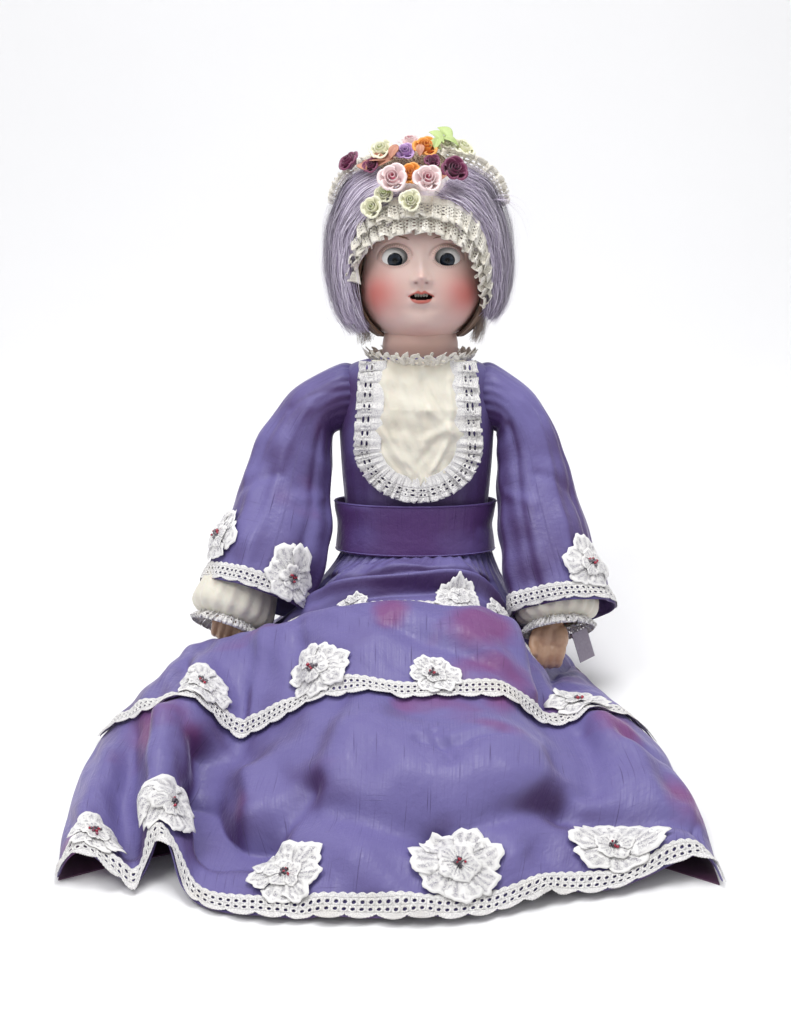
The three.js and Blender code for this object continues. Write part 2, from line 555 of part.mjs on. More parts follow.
function upperSkirt(around, v) {
  // From the waist seam to the lap in front, and to the floor at the sides and behind.
  const u = (around + 1) % 1;
  const [x, y] = oval(-u, WAIST.rx, WAIST.ry);
  const waist = vec(x, y, WAIST.z).applyAxisAngle(vec(1, 0, 0), -LEAN);
  waist.z += HIP_HEIGHT;
  let hem;
  if (u <= 0.5) {
    hem = drape(u * 2, 0);
  } else {
    const t = (u - 0.5) * 2 * Math.PI;
    const turn = Math.cos(t);
    hem = vec(lerp(-16, turn > 0 ? -168 : 134, Math.abs(turn)), -24 + 104 * Math.sin(t), FLOOR_CLEAR);
  }
  const spread = v ** 1.35;
  const front = Math.max(Math.sin(u * 2 * Math.PI), 0);
  const swell = 9 * Math.sin(v * Math.PI) * front;
  const point = vec(lerp(waist.x, hem.x, spread), lerp(waist.y, hem.y, spread),
    lerp(waist.z, hem.z, v) + swell);
  point.z = Math.max(point.z, FLOOR_CLEAR);
  return point;
}
add(doll, 'skirt_tier_1', cloth(upperSkirt, 28, 5, true, CLOTH, -CLOTH), COLOUR.silk, 0.4);
const lapLace = (u, v) => upperSkirt(lerp(3, 11, u) / 28, lerp(0.8, 1, v));
add(doll, 'skirt_lace_1', cloth(lapLace, 8, 1, false, LACE, LIFTED + 3.9), COLOUR.lace, 0.8);

function backPanel() {
  const outline = new THREE.Shape();
  outline.moveTo(204, -356);
  outline.bezierCurveTo(120, -300, 60, -285, -10, -285);
  outline.bezierCurveTo(-80, -285, -160, -300, -250, -350);
  outline.bezierCurveTo(-262, -250, -246, -140, -172, -24);
  outline.bezierCurveTo(-140, 60, -80, 84, -16, 84);
  outline.bezierCurveTo(60, 84, 110, 60, 140, -24);
  outline.bezierCurveTo(176, -140, 206, -250, 204, -356);
  return new THREE.ExtrudeGeometry(outline, { depth: CLOTH, bevelEnabled: false, curveSegments: 8 });
}
add(doll, 'skirt_back_panel', backPanel(), COLOUR.lining, 0.5);

export default doll;
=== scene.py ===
import math
import bpy
import numpy as np
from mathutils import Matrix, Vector


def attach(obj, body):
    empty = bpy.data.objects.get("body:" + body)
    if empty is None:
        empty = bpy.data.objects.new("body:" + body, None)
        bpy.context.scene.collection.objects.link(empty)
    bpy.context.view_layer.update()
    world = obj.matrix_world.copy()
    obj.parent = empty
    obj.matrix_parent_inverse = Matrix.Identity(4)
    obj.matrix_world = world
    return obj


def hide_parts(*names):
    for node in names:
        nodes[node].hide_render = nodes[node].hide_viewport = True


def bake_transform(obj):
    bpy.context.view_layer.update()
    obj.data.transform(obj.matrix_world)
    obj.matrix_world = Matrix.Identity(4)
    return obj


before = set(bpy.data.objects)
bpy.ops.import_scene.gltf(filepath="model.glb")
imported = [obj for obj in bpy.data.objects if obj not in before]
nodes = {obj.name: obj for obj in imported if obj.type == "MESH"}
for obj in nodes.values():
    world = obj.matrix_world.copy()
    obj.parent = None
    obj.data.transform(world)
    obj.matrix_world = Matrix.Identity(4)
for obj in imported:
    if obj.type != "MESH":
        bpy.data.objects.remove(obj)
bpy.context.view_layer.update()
SIDES = {"left": 1, "right": -1}

# Jointed body. The torso, limbs and neck block are turned wood and moulded composition under many
# coats of flesh enamel. They are strung on elastic, so nothing is glued: each ball sits in its socket.


def new_finish(name, **sockets):
    """One finish, with the plain values that are the same all over it."""
    finish = bpy.data.materials.new(name)
    finish.use_nodes = True
    shader = finish.node_tree.nodes["Principled BSDF"]
    for socket, value in sockets.items():
        shader.inputs[socket.replace("_", " ")].default_value = value
    return finish


def step(finish, kind, inputs=None, **settings):
    """Adds one node to a finish; an input is either a value or another node's output."""
    node = finish.node_tree.nodes.new("ShaderNode" + kind)
    for name, value in settings.items():
        setattr(node, name, value)
    for name, value in (inputs or {}).items():
        if isinstance(value, bpy.types.NodeSocket):
            finish.node_tree.links.new(value, node.inputs[name])
        else:
            node.inputs[name].default_value = value
    return node


def where(finish, weave=False, scale=(1, 1, 1), turn=0.0):
    """Metres on the doll, or metres along and across the cloth."""
    place = step(finish, "TexCoord").outputs["Object"]
    if weave:
        place = step(finish, "UVMap", uv_map="Weave").outputs["UV"]
    return step(finish, "Mapping",
                {"Vector": place, "Scale": scale, "Rotation": (0, 0, turn)}).outputs["Vector"]


def cloudy(finish, place, scale, detail=2.0, rough=0.5):
    return step(finish, "TexNoise", {"Vector": place, "Scale": scale, "Detail": detail,
                                     "Roughness": rough}).outputs["Fac"]


def between(finish, value, low, high, soft=True):
    """0 below low, 1 above high."""
    node = step(finish, "MapRange", {"Value": value, "From Min": low, "From Max": high})
    node.interpolation_type = "SMOOTHSTEP" if soft else "LINEAR"
    return node.outputs["Result"]


def calc(finish, kind, a, b=0.0):
    node = step(finish, "Math", operation=kind)
    for socket, value in zip(node.inputs, (a, b)):
        if isinstance(value, bpy.types.NodeSocket):
            finish.node_tree.links.new(value, socket)
        else:
            socket.default_value = value
    return node.outputs[0]


def dye(finish, amount, first, second):
    """One colour where amount is 0, the other where it is 1."""
    node = step(finish, "Mix", data_type="RGBA")
    for socket, value in ((node.inputs[0], amount), (node.inputs[6], first), (node.inputs[7], second)):
        if isinstance(value, bpy.types.NodeSocket):
            finish.node_tree.links.new(value, socket)
        else:
            socket.default_value = value if isinstance(value, float) else (*value, 1.0)[:4]
    return node.outputs[2]


def colour(finish, socket):
    shader = finish.node_tree.nodes["Principled BSDF"]
    finish.node_tree.links.new(socket, shader.inputs["Base Color"])


def gloss(finish, socket):
    shader = finish.node_tree.nodes["Principled BSDF"]
    finish.node_tree.links.new(socket, shader.inputs["Roughness"])


def relief(finish, height, depth, strength=1.0):
    """Raises the surface by up to depth metres; a second call adds to the first."""
    shader = finish.node_tree.nodes["Principled BSDF"]
    bump = step(finish, "Bump", {"Height": height, "Distance": depth, "Strength": strength})
    if shader.inputs["Normal"].is_linked:
        finish.node_tree.links.new(shader.inputs["Normal"].links[0].from_socket, bump.inputs["Normal"])
    finish.node_tree.links.new(bump.outputs["Normal"], shader.inputs["Normal"])


def give(names, finish):
    """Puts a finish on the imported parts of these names."""
    for name in names:
        mesh = nodes[name].data
        mesh.materials.clear()
        mesh.materials.append(finish)
        mesh.shade_smooth()


def of_both(*names):
    return [f"{name}_{side}" for name in names for side in SIDES]


enamel = new_finish("flesh_enamel", Roughness=0.42, Coat_Weight=0.25, Coat_Roughness=0.3)
worn = between(enamel, cloudy(enamel, where(enamel), 30, 5, 0.65), 0.58, 0.80)
grubby = between(enamel, cloudy(enamel, where(enamel), 90, 4), 0.42, 0.7)
tan = dye(enamel, grubby, (0.62, 0.39, 0.25), (0.50, 0.28, 0.17))
colour(enamel, dye(enamel, worn, tan, (0.25, 0.12, 0.06)))
relief(enamel, cloudy(enamel, where(enamel), 400, 3), 0.0002, 0.5)
give(["torso_shell"] + of_both("upper_arm", "forearm", "thigh", "lower_leg"), enamel)

wood = new_finish("turned_wood", Roughness=0.6)
rings = step(wood, "TexWave",
             {"Vector": where(wood), "Scale": 160, "Distortion": 3, "Detail": 3}).outputs["Fac"]
colour(wood, dye(wood, rings, (0.55, 0.36, 0.18), (0.36, 0.2, 0.09)))
relief(wood, rings, 0.0001, 0.5)
give(["neck_block"], wood)

elastic = new_finish("braided_elastic", Roughness=0.9)
braid = step(elastic, "TexWave", {"Vector": where(elastic), "Scale": 320, "Distortion": 1,
                                  "Detail": 1}).outputs["Fac"]
colour(elastic, dye(elastic, braid, (0.55, 0.52, 0.45), (0.3, 0.28, 0.24)))
relief(elastic, braid, 0.0003)
give(["arm_elastic", "leg_elastic"], elastic)

kid = new_finish("boot_leather", Roughness=0.45)
crease = cloudy(kid, where(kid, scale=(1, 1, 2.5)), 160, 6, 0.6)
colour(kid, dye(kid, between(kid, crease, 0.35, 0.7), (0.045, 0.028, 0.022), (0.13, 0.075, 0.05)))
relief(kid, crease, 0.0006, 0.6)
give(of_both("boot"), kid)

# Doll's own measures in the trunk's leaning frame: x to its left, y behind it, z up its back.
LEAN = math.radians(14)


def leaning(points):
    """Millimetres in the trunk's frame, which leans back from the hips, to the doll's own frame."""
    p = np.asarray(points, float)
    x, y, z = p[..., 0], p[..., 1], p[..., 2]
    back = y * math.cos(LEAN) + z * math.sin(LEAN)
    up = 42 - y * math.sin(LEAN) + z * math.cos(LEAN)
    return np.stack([x, back, up], axis=-1)


# Skirt. Plum shot silk, cut in three tiers and gathered into the waist. Each tier is one strip, hemmed
# over its lace, and lies over the next; the seat of the skirt is spread flat on the floor underneath.


def smooth_through(stops, t):
    """A smooth curve through stops[0], stops[1]... at the places t, each from 0 to 1."""
    stops = np.asarray(stops, float)
    place = np.clip(t, 0, 1) * (len(stops) - 1)
    i = np.minimum(place.astype(int), len(stops) - 2)
    f = (place - i).reshape(place.shape + (1,) * (stops.ndim - 1))
    a, b, c, d = [stops[np.clip(i + k, 0, len(stops) - 1)] for k in (-1, 0, 1, 2)]
    return 0.5 * (2 * b + (c - a) * f + (2 * a - 5 * b + 4 * c - d) * f**2 + (3 * b - a - 3 * c + d) * f**3)


LAP = [[-168, -24, 4], [-160, -50, 22], [-150, -62, 32], [-135, -72, 45], [-115, -80, 60],
       [-90, -88, 74], [-50, -96, 86], [-3, -99, 88], [50, -97, 84], [84, -86, 52],
       [104, -78, 20], [120, -58, 12], [134, -24, 4]]
KNEE = [[-206, -66, 4], [-200, -72, 28], [-186, -80, 46], [-160, -95, 60], [-130, -110, 72],
        [-98, -125, 88], [-57, -138, 106], [-3, -142, 109], [55, -142, 102], [88, -128, 62],
        [110, -110, 24], [134, -95, 20], [152, -72, 4]]
FLOUNCE = [[-250, -152, 4], [-232, -172, 28], [-206, -188, 47], [-176, -198, 63], [-134, -200, 32],
           [-98, -205, 56], [-57, -212, 79], [-4, -222, 76], [60, -217, 76], [94, -202, 44],
           [131, -190, 46], [160, -178, 36], [184, -158, 4]]
SHIN = [[-258, -258, 4], [-240, -268, 26], [-205, -285, 22], [-182, -275, 42], [-148, -285, 16],
        [-108, -300, 28], [-57, -312, 56], [-1, -320, 54], [55, -318, 56], [98, -300, 38],
        [151, -280, 34], [188, -266, 28], [202, -262, 4]]
HEM = [[-250, -355, 4], [-230, -352, 24], [-196, -364, 4], [-180, -345, 32], [-152, -385, 4],
       [-108, -402, 4], [-68, -404, 4], [-12, -405, 4], [38, -400, 4], [86, -378, 7],
       [127, -372, 5], [190, -350, 18], [206, -360, 4]]
SKIRT = np.array([LAP, KNEE, FLOUNCE, SHIN, HEM], float)


def lie_of_skirt(across, down):
    """across from the doll's right (0) to its left (1); down from the lap (0) to the hem (1)."""
    ribs = np.stack([smooth_through(rib, across) for rib in SKIRT])
    inside = np.clip(down, 0, 1)
    place = inside * 4
    i = np.minimum(place.astype(int), 3)
    f = (place - i)[:, None]
    row = np.arange(len(place))
    a, b, c, d = [ribs[np.clip(i + k, 0, 4), row] for k in (-1, 0, 1, 2)]
    point = 0.5 * (2 * b + (c - a) * f + (2 * a - 5 * b + 4 * c - d) * f**2 + (3 * b - a - 3 * c + d) * f**3)
    past = (down - inside)[:, None]
    point = point + past * (ribs[4] - ribs[3]) * 4
    return point


def slope(surface, across, down, gap=2e-3):
    """The two directions in a surface, and the way it faces."""
    du = (surface(across + gap, down) - surface(across - gap, down)) / (2 * gap)
    dv = (surface(across, down + gap) - surface(across, down - gap)) / (2 * gap)
    out = np.cross(dv, du)
    out /= np.maximum(np.linalg.norm(out, axis=1, keepdims=True), 1e-9)
    return du, dv, out


# Folds: from and to as (across, down), width and height in millimetres. A height below 0 is a hollow.
FOLDS = [
    (0.300, 0.60, 0.318, 0.74, 11, -9), (0.318, 0.74, 0.345, 0.83, 12, -11),
    (0.345, 0.83, 0.41, 0.83, 11, -9),
    (0.41, 0.83, 0.462, 0.74, 9, -6), (0.385, 0.66, 0.40, 0.76, 16, 7), (0.50, 0.64, 0.70, 0.67, 26, 6),
    (0.47, 0.79, 0.60, 0.835, 10, -5), (0.60, 0.835, 0.75, 0.775, 10, -5), (0.76, 0.80, 0.93, 0.88, 9, -5),
    (0.56, 0.74, 0.74, 0.73, 14, 4), (0.585, 0.655, 0.625, 0.67, 5, -2.4), (0.60, 0.63, 0.615, 0.70, 4, -2.2),
    (0.63, 0.655, 0.665, 0.64, 5, -2.0), (0.742, 0.18, 0.752, 0.43, 8, -6), (0.70, 0.20, 0.72, 0.44, 10, 3.5),
    (0.42, 0.24, 0.43, 0.44, 9, -3.0), (0.36, 0.25, 0.35, 0.46, 10, 3.0), (0.55, 0.31, 0.68, 0.44, 9, -2.6),
    (0.20, 0.36, 0.23, 0.47, 9, -4), (0.13, 0.55, 0.16, 0.86, 12, -6), (0.22, 0.56, 0.235, 0.86, 12, 6),
    (0.84, 0.55, 0.88, 0.92, 13, 4), (0.80, 0.56, 0.79, 0.74, 10, -4), (0.50, 0.52, 0.47, 0.66, 12, -4.5),
    (0.53, 0.88, 0.60, 0.97, 10, 3), (0.70, 0.88, 0.74, 0.98, 10, 3), (0.66, 0.86, 0.68, 0.98, 9, -3),
    (0.45, 0.88, 0.48, 0.98, 8, -3), (0.86, 0.60, 0.96, 0.66, 9, -3.5), (0.54, 0.60, 0.55, 0.52, 8, 2.4),
]


def worked_folds(folds, across, down, wide, long):
    """How far a sheet stands proud at each place; wide and long turn across and down into millimetres."""
    lift = np.zeros(len(across))
    for a0, d0, a1, d1, width, height in folds:
        x, y = (across - a0) * wide, (down - d0) * long
        ex, ey = (a1 - a0) * wide, (d1 - d0) * long
        reach = math.hypot(ex, ey)
        t = (x * ex + y * ey) / reach**2
        aside = np.abs(x * ey - y * ex) / reach
        past = np.maximum(np.maximum(-t, t - 1), 0) * reach
        lift += height * np.exp(-(aside / width) ** 2 - (past / width) ** 2)
    return lift


def waves(x, y, seed, lengths, height):
    """Soft random waves, of the given lengths in millimetres."""
    rng = np.random.default_rng(seed)
    total = np.zeros(len(x))
    for length in lengths:
        turn = rng.uniform(0, math.pi)
        shift = rng.uniform(0, 2 * math.pi)
        total += np.sin((x * math.cos(turn) + y * math.sin(turn)) * 2 * math.pi / length + shift)
    return total * height / len(lengths)


def skirt_surface(across, down):
    """The skirt with its folds, in millimetres."""
    across = np.asarray(across, float)
    down = np.asarray(down, float)
    base = lie_of_skirt(across, down)
    out = slope(lie_of_skirt, across, down)[2]
    lift = worked_folds(FOLDS, across, down, 520, 330) * 1.8
    lift += waves(across * 520, down * 330, 3, (38, 47, 61, 74, 29, 55), 4.0)
    fade = np.clip(base[:, 2] / 12, 0.1, 1)
    point = base + out * (lift * fade)[:, None]
    point[:, 2] = np.maximum(point[:, 2], 3.0)
    return point


# Painted sheen: spots on the skirt painted with the weft's magenta, where shot silk turns magenta at its
# angle to the light: (x, y, z, reach) in metres.
MAGENTA_SHEEN_SPOTS = [(0.052, -0.150, 0.106, 0.042), (-0.020, -0.140, 0.108, 0.022), (-0.200, -0.215, 0.045, 0.045),
           (0.150, -0.205, 0.045, 0.030), (-0.150, -0.300, 0.030, 0.030), (0.060, -0.225, 0.076, 0.028),
           (0.185, -0.280, 0.020, 0.030), (-0.240, -0.330, 0.02, 0.030), (0.10, -0.13, 0.07, 0.025)]


def shot_silk(name, blue, plum, rose, sheen=0.35):
    """Dupion woven with blue one way and magenta the other, so that it turns colour with its fall; here the
    turn is painted by the way the cloth faces: lighter blue on cloth facing up, as painted light, and darker
    plum on cloth facing sideways and down, as painted shade.
    """
    silk = new_finish(name, Roughness=0.36, Sheen_Weight=sheen, Sheen_Roughness=0.35, Specular_IOR_Level=0.45)
    silk.node_tree.nodes["Principled BSDF"].inputs["Sheen Tint"].default_value = (0.72, 0.68, 1.0, 1)
    # Painted light and shade: up-facing cloth is painted the lighter blue, side- and down-facing cloth the
    # darker plum.
    facing = step(silk, "SeparateXYZ", {"Vector": step(silk, "TexCoord").outputs["Normal"]})
    up = calc(silk, "ADD", facing.outputs["Z"], calc(silk, "MULTIPLY", facing.outputs["Y"], -0.35))
    patch = calc(silk, "MULTIPLY", calc(silk, "SUBTRACT", cloudy(silk, where(silk), 11, 3), 0.5), 1.5)
    turn = between(silk, calc(silk, "ADD", up, patch), 0.25, 1.0)
    body = dye(silk, turn, plum, blue)
    # The weft's magenta: cloudy patches here and there, and painted sheen at the spots listed above.
    magenta_patches_and_sheen = between(silk, cloudy(silk, where(silk, scale=(1, 1.6, 1)), 9, 3), 0.60, 0.78)
    edge = cloudy(silk, where(silk), 24, 3)
    for x, y, z, reach in MAGENTA_SHEEN_SPOTS:
        far_off = step(silk, "VectorMath", {0: where(silk, scale=(1, 1, 1.4)), 1: (x, y, z * 1.4)},
                       operation="DISTANCE").outputs["Value"]
        ragged = calc(silk, "ADD", far_off,
                      calc(silk, "MULTIPLY", calc(silk, "SUBTRACT", edge, 0.5), reach * 1.3))
        magenta_patches_and_sheen = calc(silk, "MAXIMUM", magenta_patches_and_sheen, between(silk, ragged, reach, reach * 0.25))
    shot = dye(silk, calc(silk, "MULTIPLY", magenta_patches_and_sheen, 0.72), body, rose)
    warp = where(silk, weave=True, scale=(900, 24, 1))
    slub = between(silk, cloudy(silk, warp, 1, 1, 0.4), 0.66, 0.78)
    weft = where(silk, weave=True, scale=(30, 1300, 1))
    thick = between(silk, cloudy(silk, weft, 1, 1, 0.4), 0.7, 0.8)
    marks = calc(silk, "MAXIMUM", calc(silk, "MULTIPLY", slub, 0.5), calc(silk, "MULTIPLY", thick, 0.22))
    colour(silk, dye(silk, marks, shot, tuple(c * 0.45 for c in plum)))
    crush = cloudy(silk, where(silk, weave=True, scale=(1, 1, 1)), 75, 4, 0.6)
    relief(silk, crush, 0.004, 0.35)
    relief(silk, calc(silk, "ADD", slub, thick), 0.0003, 0.5)
    gloss(silk, between(silk, cloudy(silk, warp, 1, 2), -0.35, 1.3))
    return silk


plum_silk = shot_silk("plum_shot_silk", (0.150, 0.128, 0.335), (0.060, 0.026, 0.115), (0.20, 0.035, 0.15))


def add_mesh(name, points, faces, finish, weave=None):
    """A new piece from points in millimetres; weave is where each point lies on the flat cloth, in mm."""
    mesh = bpy.data.meshes.new(name)
    points = np.asarray(points, float).reshape(-1, 3) / 1000
    mesh.from_pydata(points.tolist(), [], [tuple(int(i) for i in f) for f in faces])
    if weave is not None:
        layer = mesh.uv_layers.new(name="Weave")
        loops = np.zeros(len(mesh.loops), np.int32)
        mesh.loops.foreach_get("vertex_index", loops)
        flat = np.asarray(weave, float).reshape(-1, 2)[loops] / 1000
        layer.data.foreach_set("uv", flat.ravel().astype(np.float32))
    mesh.materials.append(finish)
    mesh.shade_smooth()
    mesh.update()
    piece = bpy.data.objects.new(name, mesh)
    bpy.context.scene.collection.objects.link(piece)
    return piece


def net_faces(rows, columns, round_about=False):
    """Four-sided faces over rows of points."""
    last = columns if round_about else columns - 1
    j, i = np.meshgrid(np.arange(rows - 1), np.arange(last), indexing="ij")
    k = (i + 1) % columns
    faces = np.stack([j * columns + i, (j + 1) * columns + i, (j + 1) * columns + k, j * columns + k],
                     axis=-1)
    return faces.reshape(-1, 4)


def add_cloth(name, surface, span, finish, count, thick=0.9, round_about=False, turn=False):
    """A sheet of cloth over span = (across0, across1, down0, down1) of a surface, count points each way."""
    columns, rows = count
    a0, a1, d0, d1 = span
    across = np.linspace(a0, a1, columns + 1)[:columns] if round_about else np.linspace(a0, a1, columns)
    down = np.linspace(d0, d1, rows)
    grid_d, grid_a = np.meshgrid(down, across, indexing="ij")
    points = surface(grid_a.ravel(), grid_d.ravel()).reshape(rows, columns, 3)
    wide = np.linalg.norm(np.diff(points, axis=1), axis=2).mean(axis=0)
    long = np.linalg.norm(np.diff(points, axis=0), axis=2).mean(axis=1)
    x = np.concatenate([[0], np.cumsum(wide)])
    y = np.concatenate([[0], np.cumsum(long)])
    weave = np.stack(np.meshgrid(x, y), axis=-1)
    piece = add_mesh(name, points, net_faces(rows, columns, round_about), finish, weave)
    if turn:
        piece.data.flip_normals()
    body = piece.modifiers.new("cloth", "SOLIDIFY")
    body.thickness = thick / 1000
    body.offset = -1
    flat = (float(x[-1] + (wide.mean() if round_about else 0)) / 1000, float(y[-1]) / 1000)
    return piece, flat


def hang(piece, body, slot, *replaced):
    """Lets a piece ride on a body and hides the imported parts it stands in for; slot is not used."""
    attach(piece, body)
    if replaced:
        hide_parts(*replaced)


def on_skirt(lift):
    """The skirt's surface, lifted; the lift grows from nothing at its upper edge."""
    def surface(across, down):
        point = skirt_surface(across, down)
        out = slope(lie_of_skirt, across, down)[2]
        rise = lift * np.clip(np.asarray(down) / 0.02 + 0.2, 0, 1)
        return point + out * np.reshape(rise, (-1, 1))
    return surface


for tier_name, span, lift, flat_rows in (("skirt_tier_3", (0, 1, 0.44, 0.985), 0.0, 150),
                                         ("skirt_tier_2", (0, 1, 0.0, 0.502), 2.2, 130)):
    tier, cut = add_cloth("silk_" + tier_name, on_skirt(lift), span, plum_silk, (330, flat_rows), 0.8)
    hang(tier, "torso", "silk", tier_name)

# Upper skirt: the first tier, gathered at the waist, falls over the lap and down to the floor all round.
WAIST_FOLDS = [
    (0.135, 0.62, 0.30, 0.66, 0.05, 9), (0.15, 0.45, 0.335, 0.50, 0.04, -6),
    (0.33, 0.30, 0.36, 0.85, 0.02, 5),
    (0.19, 0.75, 0.33, 0.85, 0.04, -5), (0.10, 0.3, 0.09, 0.9, 0.02, -5), (0.41, 0.3, 0.43, 0.9, 0.02, -5),
]


def lie_of_upper_skirt(around, down):
    """around from the doll's left side through its front (a quarter) and back; down from waist to hem."""
    u = np.mod(np.asarray(around, float), 1)
    down = np.asarray(down, float)
    turn = -u * 2 * math.pi
    waist = leaning(np.stack([62.5 * np.cos(turn), 47.5 * np.sin(turn), np.full(len(u), 59.0)], axis=-1))
    hem = lie_of_skirt(1 - np.clip(u * 2, 0, 1), np.zeros(len(u)))
    behind = (u - 0.5) * 2 * math.pi
    side = np.cos(behind)
    x = -16 + (np.where(side > 0, -168, 134) + 16) * np.abs(side)
    back = np.stack([x, -24 + 104 * np.sin(behind), np.full(len(u), 3.0)], axis=-1)
    hem = np.where((u <= 0.5)[:, None], hem, back)
    spread = np.clip(down, 0, None) ** 1.35
    front = np.clip(np.sin(u * 2 * math.pi), 0, None)
    swell = 9 * np.sin(np.clip(down, 0, 1) * math.pi) * front
    point = waist + (hem - waist) * np.stack([spread, spread, down], axis=-1)
    point[:, 2] = np.maximum(point[:, 2] + swell, 3.0)
    return point


def upper_skirt(around, down):
    around = np.asarray(around, float)
    down = np.asarray(down, float)
    base = lie_of_upper_skirt(around, down)
    out = slope(lie_of_upper_skirt, around, down)[2]
    gathers = np.sin(around * 2 * math.pi * 46) + 0.6 * np.sin(around * 2 * math.pi * 31 + 1)
    lift = 1.5 * gathers * np.exp(-np.clip(down, 0, 1) * 5.5)
    lift += waves(around * 700, down * 120, 8, (40, 55, 75, 95), 3.5) * np.clip(down * 2, 0, 1)
    lift += worked_folds(WAIST_FOLDS, around, down, 1, 1)
    fade = np.clip(base[:, 2] / 14, 0.1, 1)
    point = base - out * (lift * fade)[:, None]
    point[:, 2] = np.maximum(point[:, 2], 3.0)
    return point


tier, cut = add_cloth("silk_skirt_tier_1", upper_skirt, (0, 1, 0, 1.03), plum_silk, (420, 70), 0.8,
                      round_about=True, turn=True)
hang(tier, "torso", "silk", "skirt_tier_1")

# Skirt lining. The underside and the seat of the skirt are dark plum satin, flat on the floor.
lining = new_finish("plum_lining", Roughness=0.5, Sheen_Weight=0.2)
rumple = cloudy(lining, where(lining), 60, 4)
colour(lining, dye(lining, rumple, (0.05, 0.012, 0.045), (0.11, 0.03, 0.09)))
relief(lining, rumple, 0.002, 0.4)
give(["skirt_back_panel"], lining)

# Lace. White machine lace: a band of corded eyelets with a scalloped, toothed edge, and big flowers of
# veined petals with glass beads at their hearts. It is sewn flat over each hem.
lace = new_finish("white_lace", Roughness=0.85, Sheen_Weight=0.25, Specular_IOR_Level=0.25)
mesh_ground = step(lace, "TexVoronoi", {"Vector": where(lace, weave=True), "Scale": 900.0},
                   feature="DISTANCE_TO_EDGE").outputs["Distance"]
thread = between(lace, mesh_ground, 0.06, 0.24)
stain = between(lace, cloudy(lace, where(lace), 26, 3), 0.5, 0.8)
clean = dye(lace, thread, (0.86, 0.85, 0.83), (0.62, 0.60, 0.63))
colour(lace, dye(lace, calc(lace, "MULTIPLY", stain, 0.35), clean, (0.72, 0.66, 0.55)))
relief(lace, thread, 0.0004, 0.6)

petal_lace = new_finish("petal_lace", Roughness=0.85, Sheen_Weight=0.25, Specular_IOR_Level=0.25)
flat_place = step(petal_lace, "UVMap", uv_map="Weave").outputs["UV"]
parts = step(petal_lace, "SeparateXYZ", {"Vector": flat_place})
ribbed = calc(petal_lace, "ADD", calc(petal_lace, "MULTIPLY", parts.outputs["X"], 2100.0),
              calc(petal_lace, "MULTIPLY", cloudy(petal_lace, flat_place, 240, 3), 16.0))
vein = between(petal_lace, calc(petal_lace, "SINE", ribbed), -0.1, 0.75)
sprays = between(petal_lace, cloudy(petal_lace, where(petal_lace), 200, 2), 0.34, 0.50)
netting = step(petal_lace, "TexVoronoi", {"Vector": where(petal_lace), "Scale": 900.0},
               feature="DISTANCE_TO_EDGE").outputs["Distance"]
holes = between(petal_lace, netting, 0.03, 0.2)
rimmed = between(petal_lace, parts.outputs["Y"], 0.80, 0.9)
worked = calc(petal_lace, "MULTIPLY", vein, calc(petal_lace, "MULTIPLY", sprays, holes))
open_ground = calc(petal_lace, "MULTIPLY", worked, calc(petal_lace, "SUBTRACT", 1.0, rimmed))
white = dye(petal_lace, calc(petal_lace, "MULTIPLY", open_ground, 0.85), (0.86, 0.85, 0.84),
            (0.24, 0.20, 0.36))
tea = step(petal_lace, "VectorMath", {0: step(petal_lace, "TexCoord").outputs["Object"],
                                      1: (-0.052, -0.378, 0.012)}, operation="DISTANCE").outputs["Value"]
spill = calc(petal_lace, "ADD", tea,
             calc(petal_lace, "MULTIPLY", cloudy(petal_lace, where(petal_lace), 90, 3), 0.02))
spilt = calc(petal_lace, "MULTIPLY", between(petal_lace, spill, 0.032, 0.022), 0.6)
colour(petal_lace, dye(petal_lace, spilt, white, (0.62, 0.42, 0.24)))
relief(petal_lace, open_ground, 0.0005, 0.8)


def edge_of(surface, across, down_edge, facing=1, samples=500):
    """Turns (along, drop, height) in millimetres into points on a surface: along the line down = down_edge,
    drop below it, height above the cloth. Also gives the line's length."""
    a = np.linspace(across[0], across[1], samples)
    line = surface(a, np.full(samples, down_edge))
    far = np.concatenate([[0], np.cumsum(np.linalg.norm(np.diff(line, axis=0), axis=1))])

    def place(along, drop, height):
        at = np.interp(along, far, a)
        down = np.full(len(at), float(down_edge))
        long = np.linalg.norm(slope(surface, at, down)[1], axis=1)
        down = down + drop / np.maximum(long, 20)
        return surface(at, down) + slope(surface, at, down)[2] * (facing * height)[:, None]
    return place, float(far[-1])


def spot_on(surface, across, down, turn=0.0, facing=1):
    """Turns (x, y, height) in millimetres about one spot of a surface into points."""
    a, d = np.array([across]), np.array([down])
    du, dv, _ = slope(surface, a, d)
    wide, long = np.linalg.norm(du[0]), np.linalg.norm(dv[0])
    lean = float(np.dot(du[0], dv[0]) / (wide * long))

    def place(x, y, height):
        px = x * math.cos(turn) - y * math.sin(turn)
        py = x * math.sin(turn) + y * math.cos(turn)
        at = across + (px - lean * py) / wide
        dn = down + py / long
        return surface(at, dn) + slope(surface, at, dn)[2] * (facing * height)[:, None]
    return place


